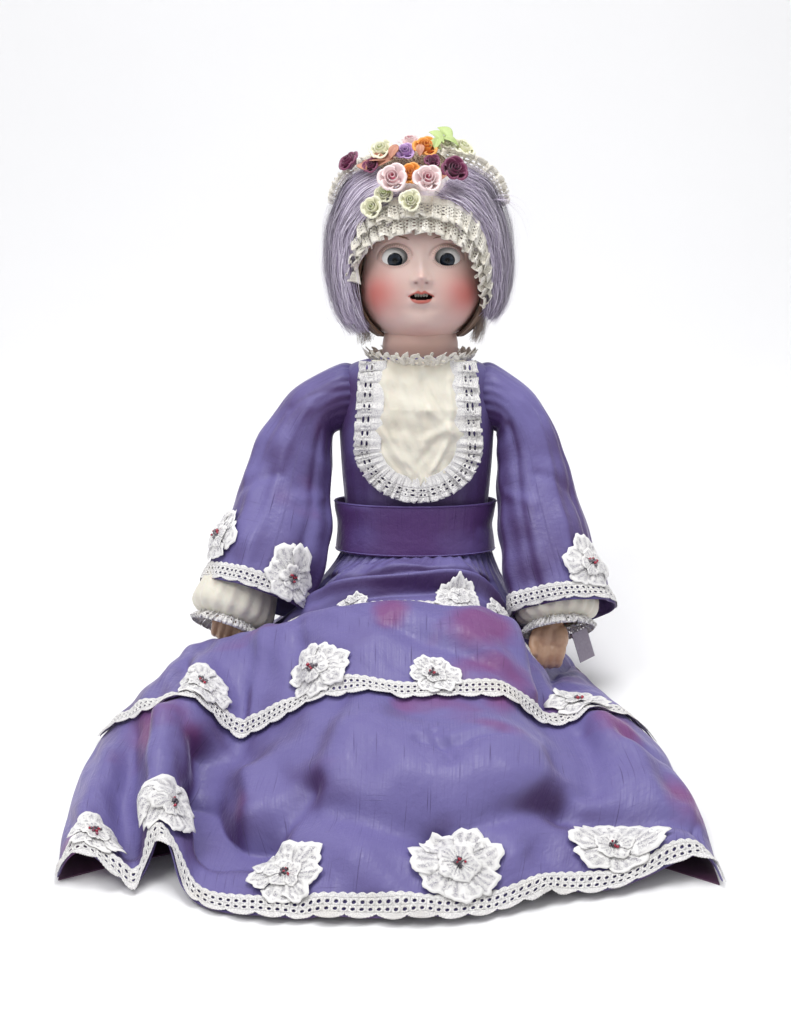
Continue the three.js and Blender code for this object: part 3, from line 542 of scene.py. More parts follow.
def eyelet_cells(length, rows, pitch, top=0.0, rim=0.45, sides=16):
    """Eyelets with corded rims, side by side in straight rows: points (along, drop, height) and faces."""
    count = max(int(length / pitch), 1)
    pitch = length / count
    turn = (np.arange(sides) + 0.5) * 2 * math.pi / sides - math.pi / sides
    square = 0.5 / np.maximum(np.abs(np.cos(turn)), np.abs(np.sin(turn)))
    rings = [(0.26 * np.ones(sides), 0.0), (0.31 * np.ones(sides), rim), (0.40 * np.ones(sides), rim * 0.8),
             (square, 0.0)]
    cell = np.concatenate([np.stack([r * np.cos(turn), r * np.sin(turn), np.full(sides, h)], 1) for r,
                           h in rings])
    quad = []
    for k in range(len(rings) - 1):
        for i in range(sides):
            n = (i + 1) % sides
            quad.append([k * sides + i, k * sides + n, (k + 1) * sides + n, (k + 1) * sides + i])
    quad = np.array(quad)
    points, faces = [], []
    for row in range(rows):
        for i in range(count):
            offset = np.array([(i + 0.5) * pitch, top + (row + 0.5) * pitch, 0])
            points.append(cell * [pitch, pitch, 1] + offset)
            faces.append(quad + len(faces) * len(cell))
    return np.concatenate(points), np.concatenate(faces)


def trimmed_strip(length, upper, lower, steps, cord=0.5, pitch=0.7):
    """A strip between two wavy edges, given as functions of the way along, corded at the lower one."""
    s = np.linspace(0, length, int(length / pitch) + 2)
    t0, t1 = upper(s), lower(s)
    rows = []
    for k in range(steps + 1):
        f = k / steps
        height = cord * math.exp(-((f - 0.86) / 0.16) ** 2)
        rows.append(np.stack([s, t0 + (t1 - t0) * f, np.full(len(s), height)], 1))
    return np.concatenate(rows), net_faces(steps + 1, len(s))


def scallops(depth, width, tooth, shift=0.0):
    def edge(s):
        arch = np.abs(np.sin((s + shift) * math.pi / width)) ** 0.7
        return depth * arch + tooth * np.abs(np.sin(s * math.pi / 2.2))
    return edge


def joined(parts):
    """Several (points, faces) as one."""
    points, faces, count = [], [], 0
    for p, f in parts:
        points.append(np.asarray(p, float))
        faces.append(np.asarray(f) + count)
        count += len(p)
    return points, faces


def add_lace(name, parts, place, finish=None, thick=0.35, lift=0.0):
    """Makes flat lace parts (along, drop, height) into one piece, laid where place puts them."""
    points, faces = joined(parts)
    flat = np.concatenate(points)
    laid = place(flat[:, 0], flat[:, 1], flat[:, 2] + lift)
    quads = [tuple(f) for group in faces for f in group]
    piece = add_mesh(name, laid, quads, finish or lace, flat[:, :2])
    body = piece.modifiers.new("thread", "SOLIDIFY")
    body.thickness = thick / 1000
    body.offset = 0
    return piece


def band_lace(length, pitch=5.2, rows=2, deep=4.0, wide=20.0, head=2.5):
    """The edging's flat pattern: heading, rows of eyelets, scallops with small teeth."""
    drop = rows * pitch
    heading = trimmed_strip(length, lambda s: -head - 1.3 * np.abs(np.sin(s * math.pi / 6.5)),
                            lambda s: 0 * s + 0.05, 3, 0.3)
    cells = eyelet_cells(length, rows, pitch)
    foot = trimmed_strip(length, lambda s: 0 * s + drop - 0.05,
                         lambda s: drop + 1.2 + scallops(deep, wide, 0.9)(s), 5)
    return [heading, cells, foot]


def petal(reach, spread, turn, seed, base=0.14, rows=9, columns=15, height=0.0):
    """One wavy petal as (x, y, height), with where it lies across itself and out from its root."""
    rng = np.random.default_rng(seed)
    shift = rng.uniform(0, 6.28, 3)
    across = np.linspace(-1, 1, columns)
    out = np.linspace(0, 1, rows)
    o, a = np.meshgrid(out, across, indexing="ij")
    frill = 1 + 0.055 * np.sin(a * 7 + shift[0]) + 0.035 * np.sin(a * 13 + shift[1])
    rounded = 1 - 0.32 * np.abs(a) ** 2.6
    r = reach * (base + (1 - base) * o * frill * rounded)
    angle = turn + spread * a * (0.45 + 0.55 * np.sqrt(o))
    h = height + 0.9 * o * np.sin(a * 5 + shift[2]) * 0.7 + 0.8 * np.exp(-((o - 0.93) / 0.07) ** 2)
    points = np.stack([r * np.cos(angle), r * np.sin(angle), np.maximum(h, height)], axis=-1)
    return points.reshape(-1, 3), net_faces(rows, columns), np.stack([a * 6, o * 1000], -1).reshape(-1, 2)


INNER_RING = 0.46  # how wide a flower's middle is, of the whole flower


def flower_parts(reach, petals, seed):
    """A lace flower: outer petals that lap over each other, and a smaller ring inside."""
    rng = np.random.default_rng(seed)
    parts = []
    start = rng.uniform(0, 6.28)
    for k in range(petals):
        turn = start + k * 2 * math.pi / petals + rng.uniform(-0.08, 0.08)
        size = reach * rng.uniform(0.88, 1.06)
        parts.append(petal(size, math.pi / petals * 1.28, turn, seed * 31 + k, height=0.3 + 0.55 * (k % 3)))
    for k in range(5):
        turn = start + 0.4 + k * 2 * math.pi / 5
        parts.append(petal(reach * INNER_RING, 0.75, turn, seed * 57 + k, base=0.05, rows=6, columns=11,
                           height=2.0 + 0.3 * (k % 2)))
    return parts


def add_flowers(name, flowers, surface_for, lift):
    """flowers: (place on its surface, down, radius in mm, petals, turn, seed, squash across)."""
    points, faces, weave, count = [], [], [], 0
    for at, down, reach, petals, turn, seed, squash in flowers:
        place = surface_for(at, down, turn)
        for p, f, w in flower_parts(reach, petals, seed):
            points.append(place(p[:, 0], p[:, 1] * squash, p[:, 2] + lift))
            faces.append(f + count)
            weave.append(w)
            count += len(p)
    piece = add_mesh(name, np.concatenate(points), np.concatenate(faces), petal_lace, np.concatenate(weave))
    body = piece.modifiers.new("thread", "SOLIDIFY")
    body.thickness = 0.0003
    body.offset = 0
    return piece


def sew_down(flowers):
    """Takes each flower's size in metres from the flowers' radii alone, and not from the made petals; nothing
    more is done with the sizes."""
    radii = [reach / 1000 for at, down, reach, *rest in flowers]


def round_bead(radius, sides=10, rings=6):
    """A bead as (x, y, height) and faces."""
    polar = np.linspace(0.12, math.pi - 0.12, rings)
    turn = np.arange(sides) * 2 * math.pi / sides
    p, t = np.meshgrid(polar, turn, indexing="ij")
    ball = np.stack([np.sin(p) * np.cos(t), np.sin(p) * np.sin(t), np.cos(p)], -1).reshape(-1, 3)
    return ball * radius, net_faces(rings, sides, True)


bead_glass = {}
for shade, tone in (("grey", (0.16, 0.14, 0.17)), ("red", (0.5, 0.02, 0.06)), ("pink", (0.75, 0.25, 0.38)),
                    ("pearl", (0.8, 0.76, 0.7))):
    bead_glass[shade] = new_finish("bead_" + shade, Roughness=0.15, Coat_Weight=0.6)
    speck = cloudy(bead_glass[shade], where(bead_glass[shade]), 900, 2)
    colour(bead_glass[shade], dye(bead_glass[shade], speck, tone, tuple(c * 0.5 for c in tone)))


def add_beads(name, flowers, surface_for, lift, shade, spots, radius=1.15):
    """The glass beads of one colour, sewn at the hearts of some flowers."""
    points, faces, count = [], [], 0
    for at, down, reach, petals, turn, seed, squash in flowers:
        place = surface_for(at, down, turn)
        rng = np.random.default_rng(seed + 5 + len(shade))
        for k in range(spots):
            angle = rng.uniform(0, 6.28)
            far = rng.uniform(0.4, 4.6)
            ball, quads = round_bead(radius * rng.uniform(0.8, 1.15))
            shift = (far * math.cos(angle), far * math.sin(angle))
            heart = place(ball[:, 0] + shift[0], ball[:, 1] + shift[1], ball[:, 2] + lift + 3.3)
            points.append(heart)
            faces.append(quads + count)
            count += len(ball)
    return add_mesh(name, np.concatenate(points), np.concatenate(faces), bead_glass[shade])


# Hem lace: over the third tier's hem, with its flowers standing above the eyelets.
hem_surface = on_skirt(1.6)
hem_place, hem_length = edge_of(hem_surface, (0.0, 1.0), 0.945)
hem_lace = add_lace("lace_hem", band_lace(hem_length, 5.8, 2, 5.0, 21), hem_place)
hang(hem_lace, "torso", "lace", "skirt_lace_3")

HEM_FLOWERS = [
    (0.100, 0.905, 24, 6, 0.2, 11, 0.95), (0.262, 0.86, 28, 6, 0.5, 12, 1.1),
    (0.447, 0.895, 31, 7, 0.1, 13, 0.9),
    (0.632, 0.885, 33, 7, 0.8, 14, 0.95), (0.822, 0.885, 33, 6, 0.3, 15, 0.9),
]


def on_hem(at, down, turn):
    return spot_on(hem_surface, at, down, turn)


hem_flowers = add_flowers("lace_hem_flowers", HEM_FLOWERS, on_hem, 0.9)
hang(hem_flowers, "torso", "lace")
sew_down(HEM_FLOWERS)
for shade, spots in (("grey", 9), ("red", 3), ("pink", 3)):
    beads = add_beads("beads_hem_" + shade, HEM_FLOWERS, on_hem, 0.9, shade, spots)
    hang(beads, "torso", "lace")

# Second tier's lace: laid over the third tier, with its flowers sewn up on the second.
mid_surface = on_skirt(3.2)
mid_place, mid_length = edge_of(mid_surface, (0.0, 1.0), 0.478)
mid_lace = add_lace("lace_second_tier", band_lace(mid_length, 4.8, 2, 3.0, 17), mid_place)
hang(mid_lace, "torso", "lace", "skirt_lace_2")
MID_FLOWERS = [
    (0.262, 0.45, 25, 6, 0.6, 21, 0.9), (0.462, 0.435, 29, 7, 0.2, 22, 0.95),
    (0.603, 0.455, 24, 6, 0.9, 23, 0.75),
    (0.825, 0.445, 27, 6, 0.1, 24, 0.85),
]


def on_second_tier(at, down, turn):
    return spot_on(mid_surface, at, down, turn)


mid_flowers = add_flowers("lace_second_tier_flowers", MID_FLOWERS, on_second_tier, 0.9)
hang(mid_flowers, "torso", "lace")
sew_down(MID_FLOWERS)
for shade, spots in (("grey", 7), ("red", 3)):
    beads = add_beads("beads_second_tier_" + shade, MID_FLOWERS, on_second_tier, 0.9, shade, spots)
    hang(beads, "torso", "lace")

# First tier's lace, across the lap. It shows only where it stands over the second tier's gathers.


def lap_surface(across, down):
    """across the lap from the doll's right to its left, on top of the first tier."""
    around = 0.5 - np.asarray(across, float) / 2
    down = np.minimum(np.asarray(down, float), 1.03)
    point = upper_skirt(around, down)
    out = slope(lie_of_upper_skirt, around, np.asarray(down, float))[2]
    return point - out * 3.2


lap_place, lap_length = edge_of(lap_surface, (0.24, 0.80), 0.93)
lap_lace = add_lace("lace_lap", band_lace(lap_length, 4.8, 2, 3.0, 17), lap_place)
hang(lap_lace, "torso", "lace", "skirt_lace_1")
LAP_FLOWERS = [(0.640, 0.85, 20, 7, 0.4, 41, 1.0), (0.478, 0.87, 14, 6, 0.1, 42, 1.0),
               (0.712, 0.84, 14, 6, 0.7, 43, 1.0)]


def on_lap(at, down, turn):
    return spot_on(lap_surface, at, down, turn)


lap_flowers = add_flowers("lace_lap_flowers", LAP_FLOWERS, on_lap, 0.6)
hang(lap_flowers, "torso", "lace")
sew_down(LAP_FLOWERS)

# Bodice. Plum shot silk, closed down the back, close to the body, with soft pulls under the arms.


BODICE = [(58, 60, 45, 0), (84, 60, 45, 0), (130, 64, 47, 0), (165, 66, 45, 0), (187, 66, 41, 0),
          (203, 66, 37, 0), (213, 61, 33, 0.5), (219, 50, 30, 1), (223, 33, 28, 1.5)]


def bodice_surface(around, down):
    """around from the back, through the doll's left side and its front; down from the neck."""
    t = np.asarray(around, float) * 2 * math.pi
    ring = smooth_through(BODICE, 1 - np.clip(down, 0, 1))
    pull = 0.7 * np.sin(t * 9 + ring[:, 0] * 0.05) * np.clip(np.abs(np.cos(t)) - 0.15, 0, 1)
    pull += 0.8 * np.sin(t * 23 + 1) * np.clip(0.3 - np.abs(np.asarray(down) - 1.0), 0, 1) * 2
    x = ring[:, 3] + (ring[:, 1] + pull) * np.sin(t)
    y = (ring[:, 2] + pull) * np.cos(t)
    return leaning(np.stack([x, y, ring[:, 0]], axis=-1))


bodice, cut = add_cloth("silk_bodice", bodice_surface, (0, 1, 0, 1), plum_silk, (200, 90), 0.8,
                        round_about=True,
                        turn=True)
hang(bodice, "torso", "silk", "bodice")

# Sash. A doubled band of the same silk, pressed flat and pinned round the waist over the bodice.
sash_silk = shot_silk("sash_shot_silk", (0.14, 0.11, 0.32), (0.09, 0.035, 0.16), (0.22, 0.04, 0.16), 0.3)
SASH = [(100, 68.5, 52.5), (99, 69.2, 53.2), (80, 66.9, 51.4), (60, 68.4, 52.4), (58.5, 67.6, 51.6)]


def sash_surface(around, down):
    t = np.asarray(around, float) * 2 * math.pi
    ring = smooth_through(SASH, down)
    crease = worked_folds([(0.10, 0.55, 0.36, 0.48, 3, -0.8), (0.60, 0.30, 0.86, 0.38, 3, 0.6)],
                          around, np.asarray(down, float), 380, 40)
    x = -1 + (ring[:, 1] + crease) * np.sin(t)
    y = (ring[:, 2] + crease) * np.cos(t)
    return leaning(np.stack([x, y, ring[:, 0]], axis=-1))


sash, cut = add_cloth("silk_sash", sash_surface, (0, 1, 0, 1), sash_silk, (200, 40), 1.4, round_about=True,
                      turn=True)
hang(sash, "torso", "silk", "sash")

# Bib. Cream satin, a round-ended panel a little too big for its lace, so that it puckers.
BIB = {"x": 1, "top": 221, "bottom": 118, "half": 38}


def on_chest(x, z, lift):
    rx = 66 + lift
    ry = 45 + 2 * np.clip((165 - z) / 35, 0, 1) + lift - 1.5 - np.clip(z - 180, 0, None) * 0.35
    return np.stack([x, -ry * np.sqrt(np.clip(1 - (x / rx) ** 2, 0, 1)), z], axis=-1)


BIB_PUCKERS = [
    (0.84, 0.52, 0.62, 0.40, 3.5, 2.2), (0.84, 0.56, 0.60, 0.62, 3.5, 2.0),
    (0.86, 0.60, 0.74, 0.86, 3.0, 2.2),
    (0.86, 0.45, 0.84, 0.16, 3.0, 1.8), (0.82, 0.55, 0.90, 0.58, 4.5, 2.6),
    (0.78, 0.48, 0.55, 0.18, 3.0, -1.3),
    (0.76, 0.60, 0.50, 0.82, 3.5, -1.4), (0.14, 0.10, 0.22, 0.62, 3.0, 1.3),
    (0.30, 0.05, 0.34, 0.55, 4.0, -1.0),
    (0.10, 0.55, 0.34, 0.92, 3.0, 1.4), (0.30, 0.80, 0.60, 0.96, 3.5, 1.3),
    (0.46, 0.04, 0.50, 0.40, 4.0, 0.8),
]


def bib_surface(across, down):
    """across from the doll's right to its left, down from the neck."""
    across, down = np.asarray(across, float), np.asarray(down, float)
    z = BIB["top"] + (BIB["bottom"] - BIB["top"]) * down
    rounded = np.sqrt(np.clip(1 - np.clip((down - 0.45) / 0.56, 0, None) ** 2, 0.01, 1))
    lift = 5.2 + worked_folds(BIB_PUCKERS, across, down, 76, 88)
    lift = lift + waves(across * 76, down * 88, 17, (9, 13, 19, 26), 1.1)
    x = BIB["x"] + (across * 2 - 1) * (BIB["half"] + 1) * rounded
    return leaning(on_chest(x, z, np.maximum(lift, 3.6)))


satin = new_finish("cream_satin", Roughness=0.5, Sheen_Weight=0.3, Sheen_Roughness=0.4,
                   Subsurface_Weight=0.08, Subsurface_Scale=0.002)
aged = between(satin, cloudy(satin, where(satin), 22, 4), 0.45, 0.75)
colour(satin, dye(satin, aged, (0.76, 0.72, 0.62), (0.66, 0.60, 0.49)))
relief(satin, cloudy(satin, where(satin), 130, 4, 0.6), 0.0022, 0.4)
relief(satin, cloudy(satin, where(satin, weave=True, scale=(1600, 150, 1)), 1, 2), 0.0001, 0.4)
bib, cut = add_cloth("satin_bib", bib_surface, (0, 1, 0, 1), satin, (90, 100), 0.8)
hang(bib, "torso", "satin", "bib_panel")


def u_path(along, out, lift):
    """A U round the bib: along from 0 to 1 down the doll's right side, round and up; out in mm from it."""
    half = BIB["half"] - 3 + out
    reach = BIB["bottom"] + 3 - out * 0.9
    bend = (along - 0.5) * 2
    turn = np.minimum(np.abs(bend) / 0.62, 1) * math.pi / 2
    climb = np.clip(np.abs(bend) - 0.62, 0, None) / 0.38
    x = BIB["x"] + np.sign(bend) * half * np.sin(turn)
    z = 150 - (150 - reach) * np.cos(turn)
    z = z + (221 - z) * climb
    x = x - np.sign(bend) * climb * 5
    return leaning(on_chest(x, z, lift))


def gathered(length_mm, path, full, wave, height, seed):
    """Places lace along a path with its edge gathered: more waves and height the further out it runs."""
    rng = np.random.default_rng(seed)
    nodes_at = np.linspace(0, 1, 40)
    drift = np.cumsum(rng.uniform(0.7, 1.3, 40))
    drift = (drift - drift[0]) / (drift[-1] - drift[0])
    count = full / wave

    def place(along, drop, rise):
        t = along / full
        phase = np.interp(t, nodes_at, drift) * 2 * math.pi * count
        reach = np.clip((drop + 4) / length_mm, 0, 1.2)
        shift = 0.2 * wave / full * np.sin(phase * 2 + 1) * reach
        lift = rise + height * reach * (0.55 + 0.45 * np.sin(phase)) + 0.8 * reach * np.sin(phase * 2.3)
        return path(np.clip(t + shift, 0, 1), drop, lift)
    return place


ivory_lace = new_finish("ivory_lace", Roughness=0.85, Sheen_Weight=0.25, Specular_IOR_Level=0.25)
cells_of = step(ivory_lace, "TexVoronoi", {"Vector": where(ivory_lace, weave=True), "Scale": 800.0},
                feature="DISTANCE_TO_EDGE").outputs["Distance"]
ivory_thread = between(ivory_lace, cells_of, 0.05, 0.25)
tone = between(ivory_lace, cloudy(ivory_lace, where(ivory_lace), 35, 3), 0.4, 0.75)
fair = dye(ivory_lace, tone, (0.90, 0.87, 0.79), (0.80, 0.75, 0.64))
colour(ivory_lace, dye(ivory_lace, calc(ivory_lace, "MULTIPLY", ivory_thread, 0.2), fair, (0.5, 0.45, 0.42)))
relief(ivory_lace, ivory_thread, 0.0004, 0.6)

FRILL = 400


def bib_path(t, drop, lift):
    return u_path(t, drop * 1.0, 5.4 + lift)


frill_parts = [
    trimmed_strip(FRILL, lambda s: 0 * s - 4, lambda s: 0 * s + 6.0, 8, 0.2, 0.8),
    eyelet_cells(FRILL, 2, 4.2, 6.0, 0.35),
    trimmed_strip(FRILL, lambda s: 0 * s + 14.35, lambda s: 16.4 + scallops(2.6, 9, 0.6)(s), 4, 0.5, 0.8),
]
bib_frill = add_lace("lace_bib_frill", frill_parts, gathered(18, bib_path, FRILL, 13, 4.4, 4), lace)
hang(bib_frill, "torso", "lace", "bib_lace")

# Neck ruffle. A strip of cream lace gathered on a thread and tied round the neck.


def neck_path(t, drop, lift):
    """drop 0 at the neck, growing up and outwards to the edge."""
    angle = np.mod(t, 1) * 2 * math.pi
    rise = np.clip(drop / 21, 0, 1.2)
    r = 27 + 17 * rise**1.1 + lift * 0.35
    x = 3 + (r + 1.5) * np.sin(angle)
    y = r * np.cos(angle) - 0.5
    z = 208 + 17 * rise + lift * 0.7 - 4 * (1 - np.cos(angle)) * 0.5 * rise
    return leaning(np.stack([x, y, z], axis=-1))


RUFF = 420
ruff_parts = [
    trimmed_strip(RUFF, lambda s: 0 * s, lambda s: 0 * s + 10.0, 6, 0.2, 1.0),
    eyelet_cells(RUFF, 2, 4.2, 10.0, 0.35),
    trimmed_strip(RUFF, lambda s: 0 * s + 18.3, lambda s: 19.6 + scallops(2.2, 8, 0.5)(s), 3, 0.5, 0.9),
]
ruff = add_lace("lace_neck_ruffle", ruff_parts, gathered(21, neck_path, RUFF, 15, 7.0, 9), ivory_lace)
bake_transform(ruff)
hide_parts("neck_ruffle")

# Sleeves. Full at the elbow and hemmed with the same lace as the skirt; each is set in at the shoulder
# with small pleats. A puffed satin undersleeve is gathered into a lace cuff at the wrist below it.
ARMS = {
    "left": {"elbow": (106, -13, 110), "wrist": (115, -54, 22), "below": 10,
             "sleeve": [(50, 1, 189, 0, 21, 25), (66, 0, 188, 0, 24, 28), (84, -3, 173, 1, 25, 24),
                        (94, -7, 146, 2, 26, 28), (100, -13, 112, 3, 31, 33), (107, -31, 70, 4, 36, 38),
                        (116, -47, 34, 4, 39, 42), (122, -56, 12, 4, 42, 43)]},
    "right": {"elbow": (-120, -10, 112), "wrist": (-148, -42, 32), "below": 22,
              "sleeve": [(-50, 1, 189, 0, 21, 25), (-66, 0, 188, 0, 24, 28), (-88, -3, 174, 1, 26, 27),
                         (-100, -6, 147, 2, 29, 33), (-109, -11, 112, 3, 34, 40), (-117, -26, 76, 4, 39, 45),
                         (-128, -38, 43, 4, 42, 47), (-136, -46, 22, 4, 44, 46)]},
}
SLEEVE_FOLDS = {
    "left": [(0.62, 0.30, 0.66, 0.95, 3.2, -2.2), (0.70, 0.25, 0.74, 0.9, 3.2, 2.4),
             (0.80, 0.40, 0.84, 1.0, 4, -3),
             (0.90, 0.28, 0.94, 0.95, 4, 2.4), (0.06, 0.30, 0.08, 1.0, 4, -2.5),
             (0.18, 0.3, 0.16, 1.0, 5, 2.5),
             (0.96, 0.12, 0.86, 0.34, 3, -1.6), (0.98, 0.55, 0.82, 0.62, 4, -2.2),
             (0.02, 0.64, 0.14, 0.58, 4, 2.0)],
    "right": [(0.60, 0.25, 0.64, 0.95, 3.4, 2.4), (0.70, 0.30, 0.73, 0.95, 3.6, -2.4),
              (0.82, 0.3, 0.80, 1.0, 4, 2.8),
              (0.92, 0.30, 0.90, 0.95, 4, -2.6), (0.04, 0.28, 0.06, 1.0, 4, 2.6),
              (0.15, 0.35, 0.17, 1.0, 5, -2.6),
              (0.02, 0.10, 0.12, 0.34, 3, -1.8), (0.04, 0.56, 0.20, 0.64, 4, -2.6),
              (0.98, 0.62, 0.86, 0.56, 4, 2)],
}


def unit(v):
    return np.asarray(v, float) / np.linalg.norm(v)


def tube_surface(rings, shape=None):
    """A tube through rings (centre, axis, front radius, side radius); around starts at the front."""
    table = []
    for centre, axis, front, side in rings:
        z = unit(axis)
        x = unit(np.array([0, -1, 0]) - z * np.dot([0, -1, 0], z))
        table.append(np.concatenate([centre, x * front, np.cross(z, x) * side]))
    table = np.array(table)

    def surface(around, down):
        around = np.asarray(around, float)
        down = np.asarray(down, float)
        row = smooth_through(table, down)
        t = around * 2 * math.pi
        swell = 1.0 if shape is None else shape(np.mod(around, 1), down)[:, None]
        spoke = row[:, 3:6] * np.cos(t)[:, None] + row[:, 6:9] * np.sin(t)[:, None]
        return leaning(row[:, 0:3] + spoke * swell)
    return surface


def sleeve_shape(side, seed):
    folds = []
    for a0, d0, a1, d1, width, height in SLEEVE_FOLDS[side]:
        for turn in (-1, 0, 1):
            folds.append((a0 + turn, d0, a1 + turn, d1, width, height))

    def shape(around, down):
        lift = worked_folds(folds, around, down, 200, 190) * np.clip(down * 3, 0, 1) * 0.6
        pleats = np.sin(around * 2 * math.pi * 21) * 1.0 * np.exp(-down * 9) * np.clip(down * 14, 0, 1)
        soft = waves(around * 200, down * 190, seed, (32, 41, 57, 27), 3.0) * np.sin(np.clip(down, 0, 1) * 2)
        seam = np.clip(np.minimum(around, 1 - around) * 12, 0, 1)
        return 1 + (lift + pleats + soft * seam) / 34
    return shape


sleeve_surfaces = {}
for side, sign in SIDES.items():
    arm = ARMS[side]
    shoulder = np.array([sign * 74, 0, 187.0])
    elbow = np.array(arm["elbow"], float)
    wrist = np.array(arm["wrist"], float)
    fore = unit(wrist - elbow)
    out = unit(elbow - shoulder)
    along = np.array([sign, 0, 0.0])
    ways = [along, along * 0.4 + out * 0.6, out, (out + fore) / 2, fore]
    rings = [(np.array([x, y, z], float), ways[way], front, aside) for x, y, z, way, front,
             aside in arm["sleeve"]]
    surface = tube_surface(rings, sleeve_shape(side, 40 + sign))
    sleeve_surfaces[side] = surface
    sleeve, cut = add_cloth("silk_sleeve_" + side, surface, (0, 1, 0, 1), plum_silk, (150, 130), 0.8,
                            round_about=True, turn=True)
    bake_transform(sleeve)
    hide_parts("sleeve_" + side)

    hem_line, hem_long = edge_of(surface, (0.0, 1.0), 0.915, -1)
    trim = add_lace("lace_sleeve_" + side, band_lace(hem_long, 4.8, 2, 3.2, 17), hem_line, lift=1.3)
    hang(trim, "forearm_" + side, "lace", "sleeve_lace_" + side)

    low = arm["below"]
    under = tube_surface([
        (elbow + (wrist - elbow) * 0.3, fore, 18, 18), (elbow + (wrist - elbow) * 0.62, fore, 27, 25),
        (elbow + (wrist - elbow) * 0.95, fore, 33, 31), (wrist + fore * (low - 4), fore, 35, 35),
        (wrist + fore * (low + 5), fore, 31, 31), (wrist + fore * (low + 9), fore, 23, 22),
    ], lambda a, d: 1 + 0.05 * np.sin(a * 2 * math.pi * 17) * np.clip(d * 1.6 - 0.5, 0, 1)
        + 0.02 * np.sin(a * 2 * math.pi * 5 + d * 6))
    puff, cut = add_cloth("satin_undersleeve_" + side, under, (0, 1, 0, 1), satin, (160, 50), 0.8,
                          round_about=True, turn=True)
    hang(puff, "forearm_" + side, "satin", "undersleeve_" + side)

    cuff = tube_surface([
        (wrist + fore * (low + 8), fore, 22, 20.5), (wrist + fore * (low + 10), fore, 24, 23),
        (wrist + fore * (low + 17), fore, 31, 29)])
    full = 380

    def cuff_path(t, drop, lift, cuff=cuff):
        down = np.clip(drop / 16, -0.1, 1.3)
        return cuff(t, down) - slope(cuff, t, down)[2] * lift[:, None]
    cuff_parts = [
        trimmed_strip(full, lambda s: 0 * s, lambda s: 0 * s + 5.0, 4, 0.2, 1.2),
        eyelet_cells(full, 2, 4.4, 5.0, 0.35),
        trimmed_strip(full, lambda s: 0 * s + 13.7, lambda s: 15 + scallops(2.0, 8, 0.5)(s), 3, 0.5, 1.0),
    ]
    frill = add_lace("lace_cuff_" + side, cuff_parts, gathered(16, cuff_path, full, 10, 2.6, 60 + sign), lace)
    hang(frill, "forearm_" + side, "lace", "cuff_frill_" + side)

SLEEVE_FLOWERS = {
    "left": [(0.88, 0.83, 26, 6, 1.5, 31, 1.0)],
    "right": [(0.92, 0.88, 25, 6, 1.2, 32, 1.0), (0.20, 0.80, 26, 6, 0.4, 33, 1.0)],
}
for side, flowers in SLEEVE_FLOWERS.items():
    def on_sleeve(at, down, turn, side=side):
        return spot_on(sleeve_surfaces[side], at, down, turn, -1)
    sewn = add_flowers("lace_sleeve_flowers_" + side, flowers, on_sleeve, 1.9)
    hang(sewn, "forearm_" + side, "lace")
    sew_down(flowers)
    for shade, spots in (("grey", 6), ("red", 4)):
        beads = add_beads(f"beads_sleeve_{side}_{shade}", flowers, on_sleeve, 1.9, shade, spots)
        hang(beads, "forearm_" + side, "lace")

# Head. Poured bisque porcelain: a hollow head with an open crown, cut eye holes and an open mouth. The
# cheeks, lips, brows and lashes are china paint, fired on; the surface stays matt, like fine eggshell.
HEAD_X, HEAD_Y, HEAD_Z = 3.0, 2.0, 299.0
EYE_HALF, EYE_TOP, EYE_LOW = 10.3, 8.2, 6.6
EYES = {"left": (HEAD_X + 21.5, 305.0), "right": (HEAD_X - 21.5, 305.0)}
MOUTH_Z = 272.8
WIDTHS = {372: 50, 365: 50, 340: 51, 320: 51.7, 305: 51.8, 290: 54.5, 280: 58, 270: 60, 260: 60.5, 250: 60.5,
          242: 59, 236: 54, 230: 50}
DEPTHS = {372: 58, 365: 58, 340: 60, 320: 58, 305: 54.5, 295: 54.5, 285: 56.5, 273: 59, 262: 63, 252: 68,
          244: 72, 238: 70, 230: 60}


def eased(table):
    """A smooth curve of value against height, from a few stops."""
    heights = np.arange(215, 385.0)
    stops = sorted(table.items())
    values = np.interp(heights, [a for a, _ in stops], [b for _, b in stops])
    window = np.hanning(15)
    padded_values = np.pad(values, 7, mode="edge")
    values = np.convolve(padded_values, window / window.sum(), mode="valid")
    return lambda z: np.interp(z, heights, values)


width_at, depth_at = eased(WIDTHS), eased(DEPTHS)


def hump(x, z, cx, cz, sx, sz):
    return np.exp(-((x - cx) / sx) ** 2 - ((z - cz) / sz) ** 2)


def eye_ring(x, z, side):
    """1 on the edge of an eye hole, less inside it."""
    cx, cz = EYES[side]
    tall = np.where(z > cz, EYE_TOP, EYE_LOW)
    return np.sqrt(((x - cx) / EYE_HALF) ** 2 + ((z - cz) / tall) ** 2)


def mouth_ring(x, z):
    cx = (x - HEAD_X) / 9.7
    tall = np.where(z > MOUTH_Z, 2.9 * (1 - 0.25 * np.exp(-(cx * 4) ** 2)), 2.1)
    return np.sqrt(cx**2 + ((z - MOUTH_Z) / tall) ** 2)


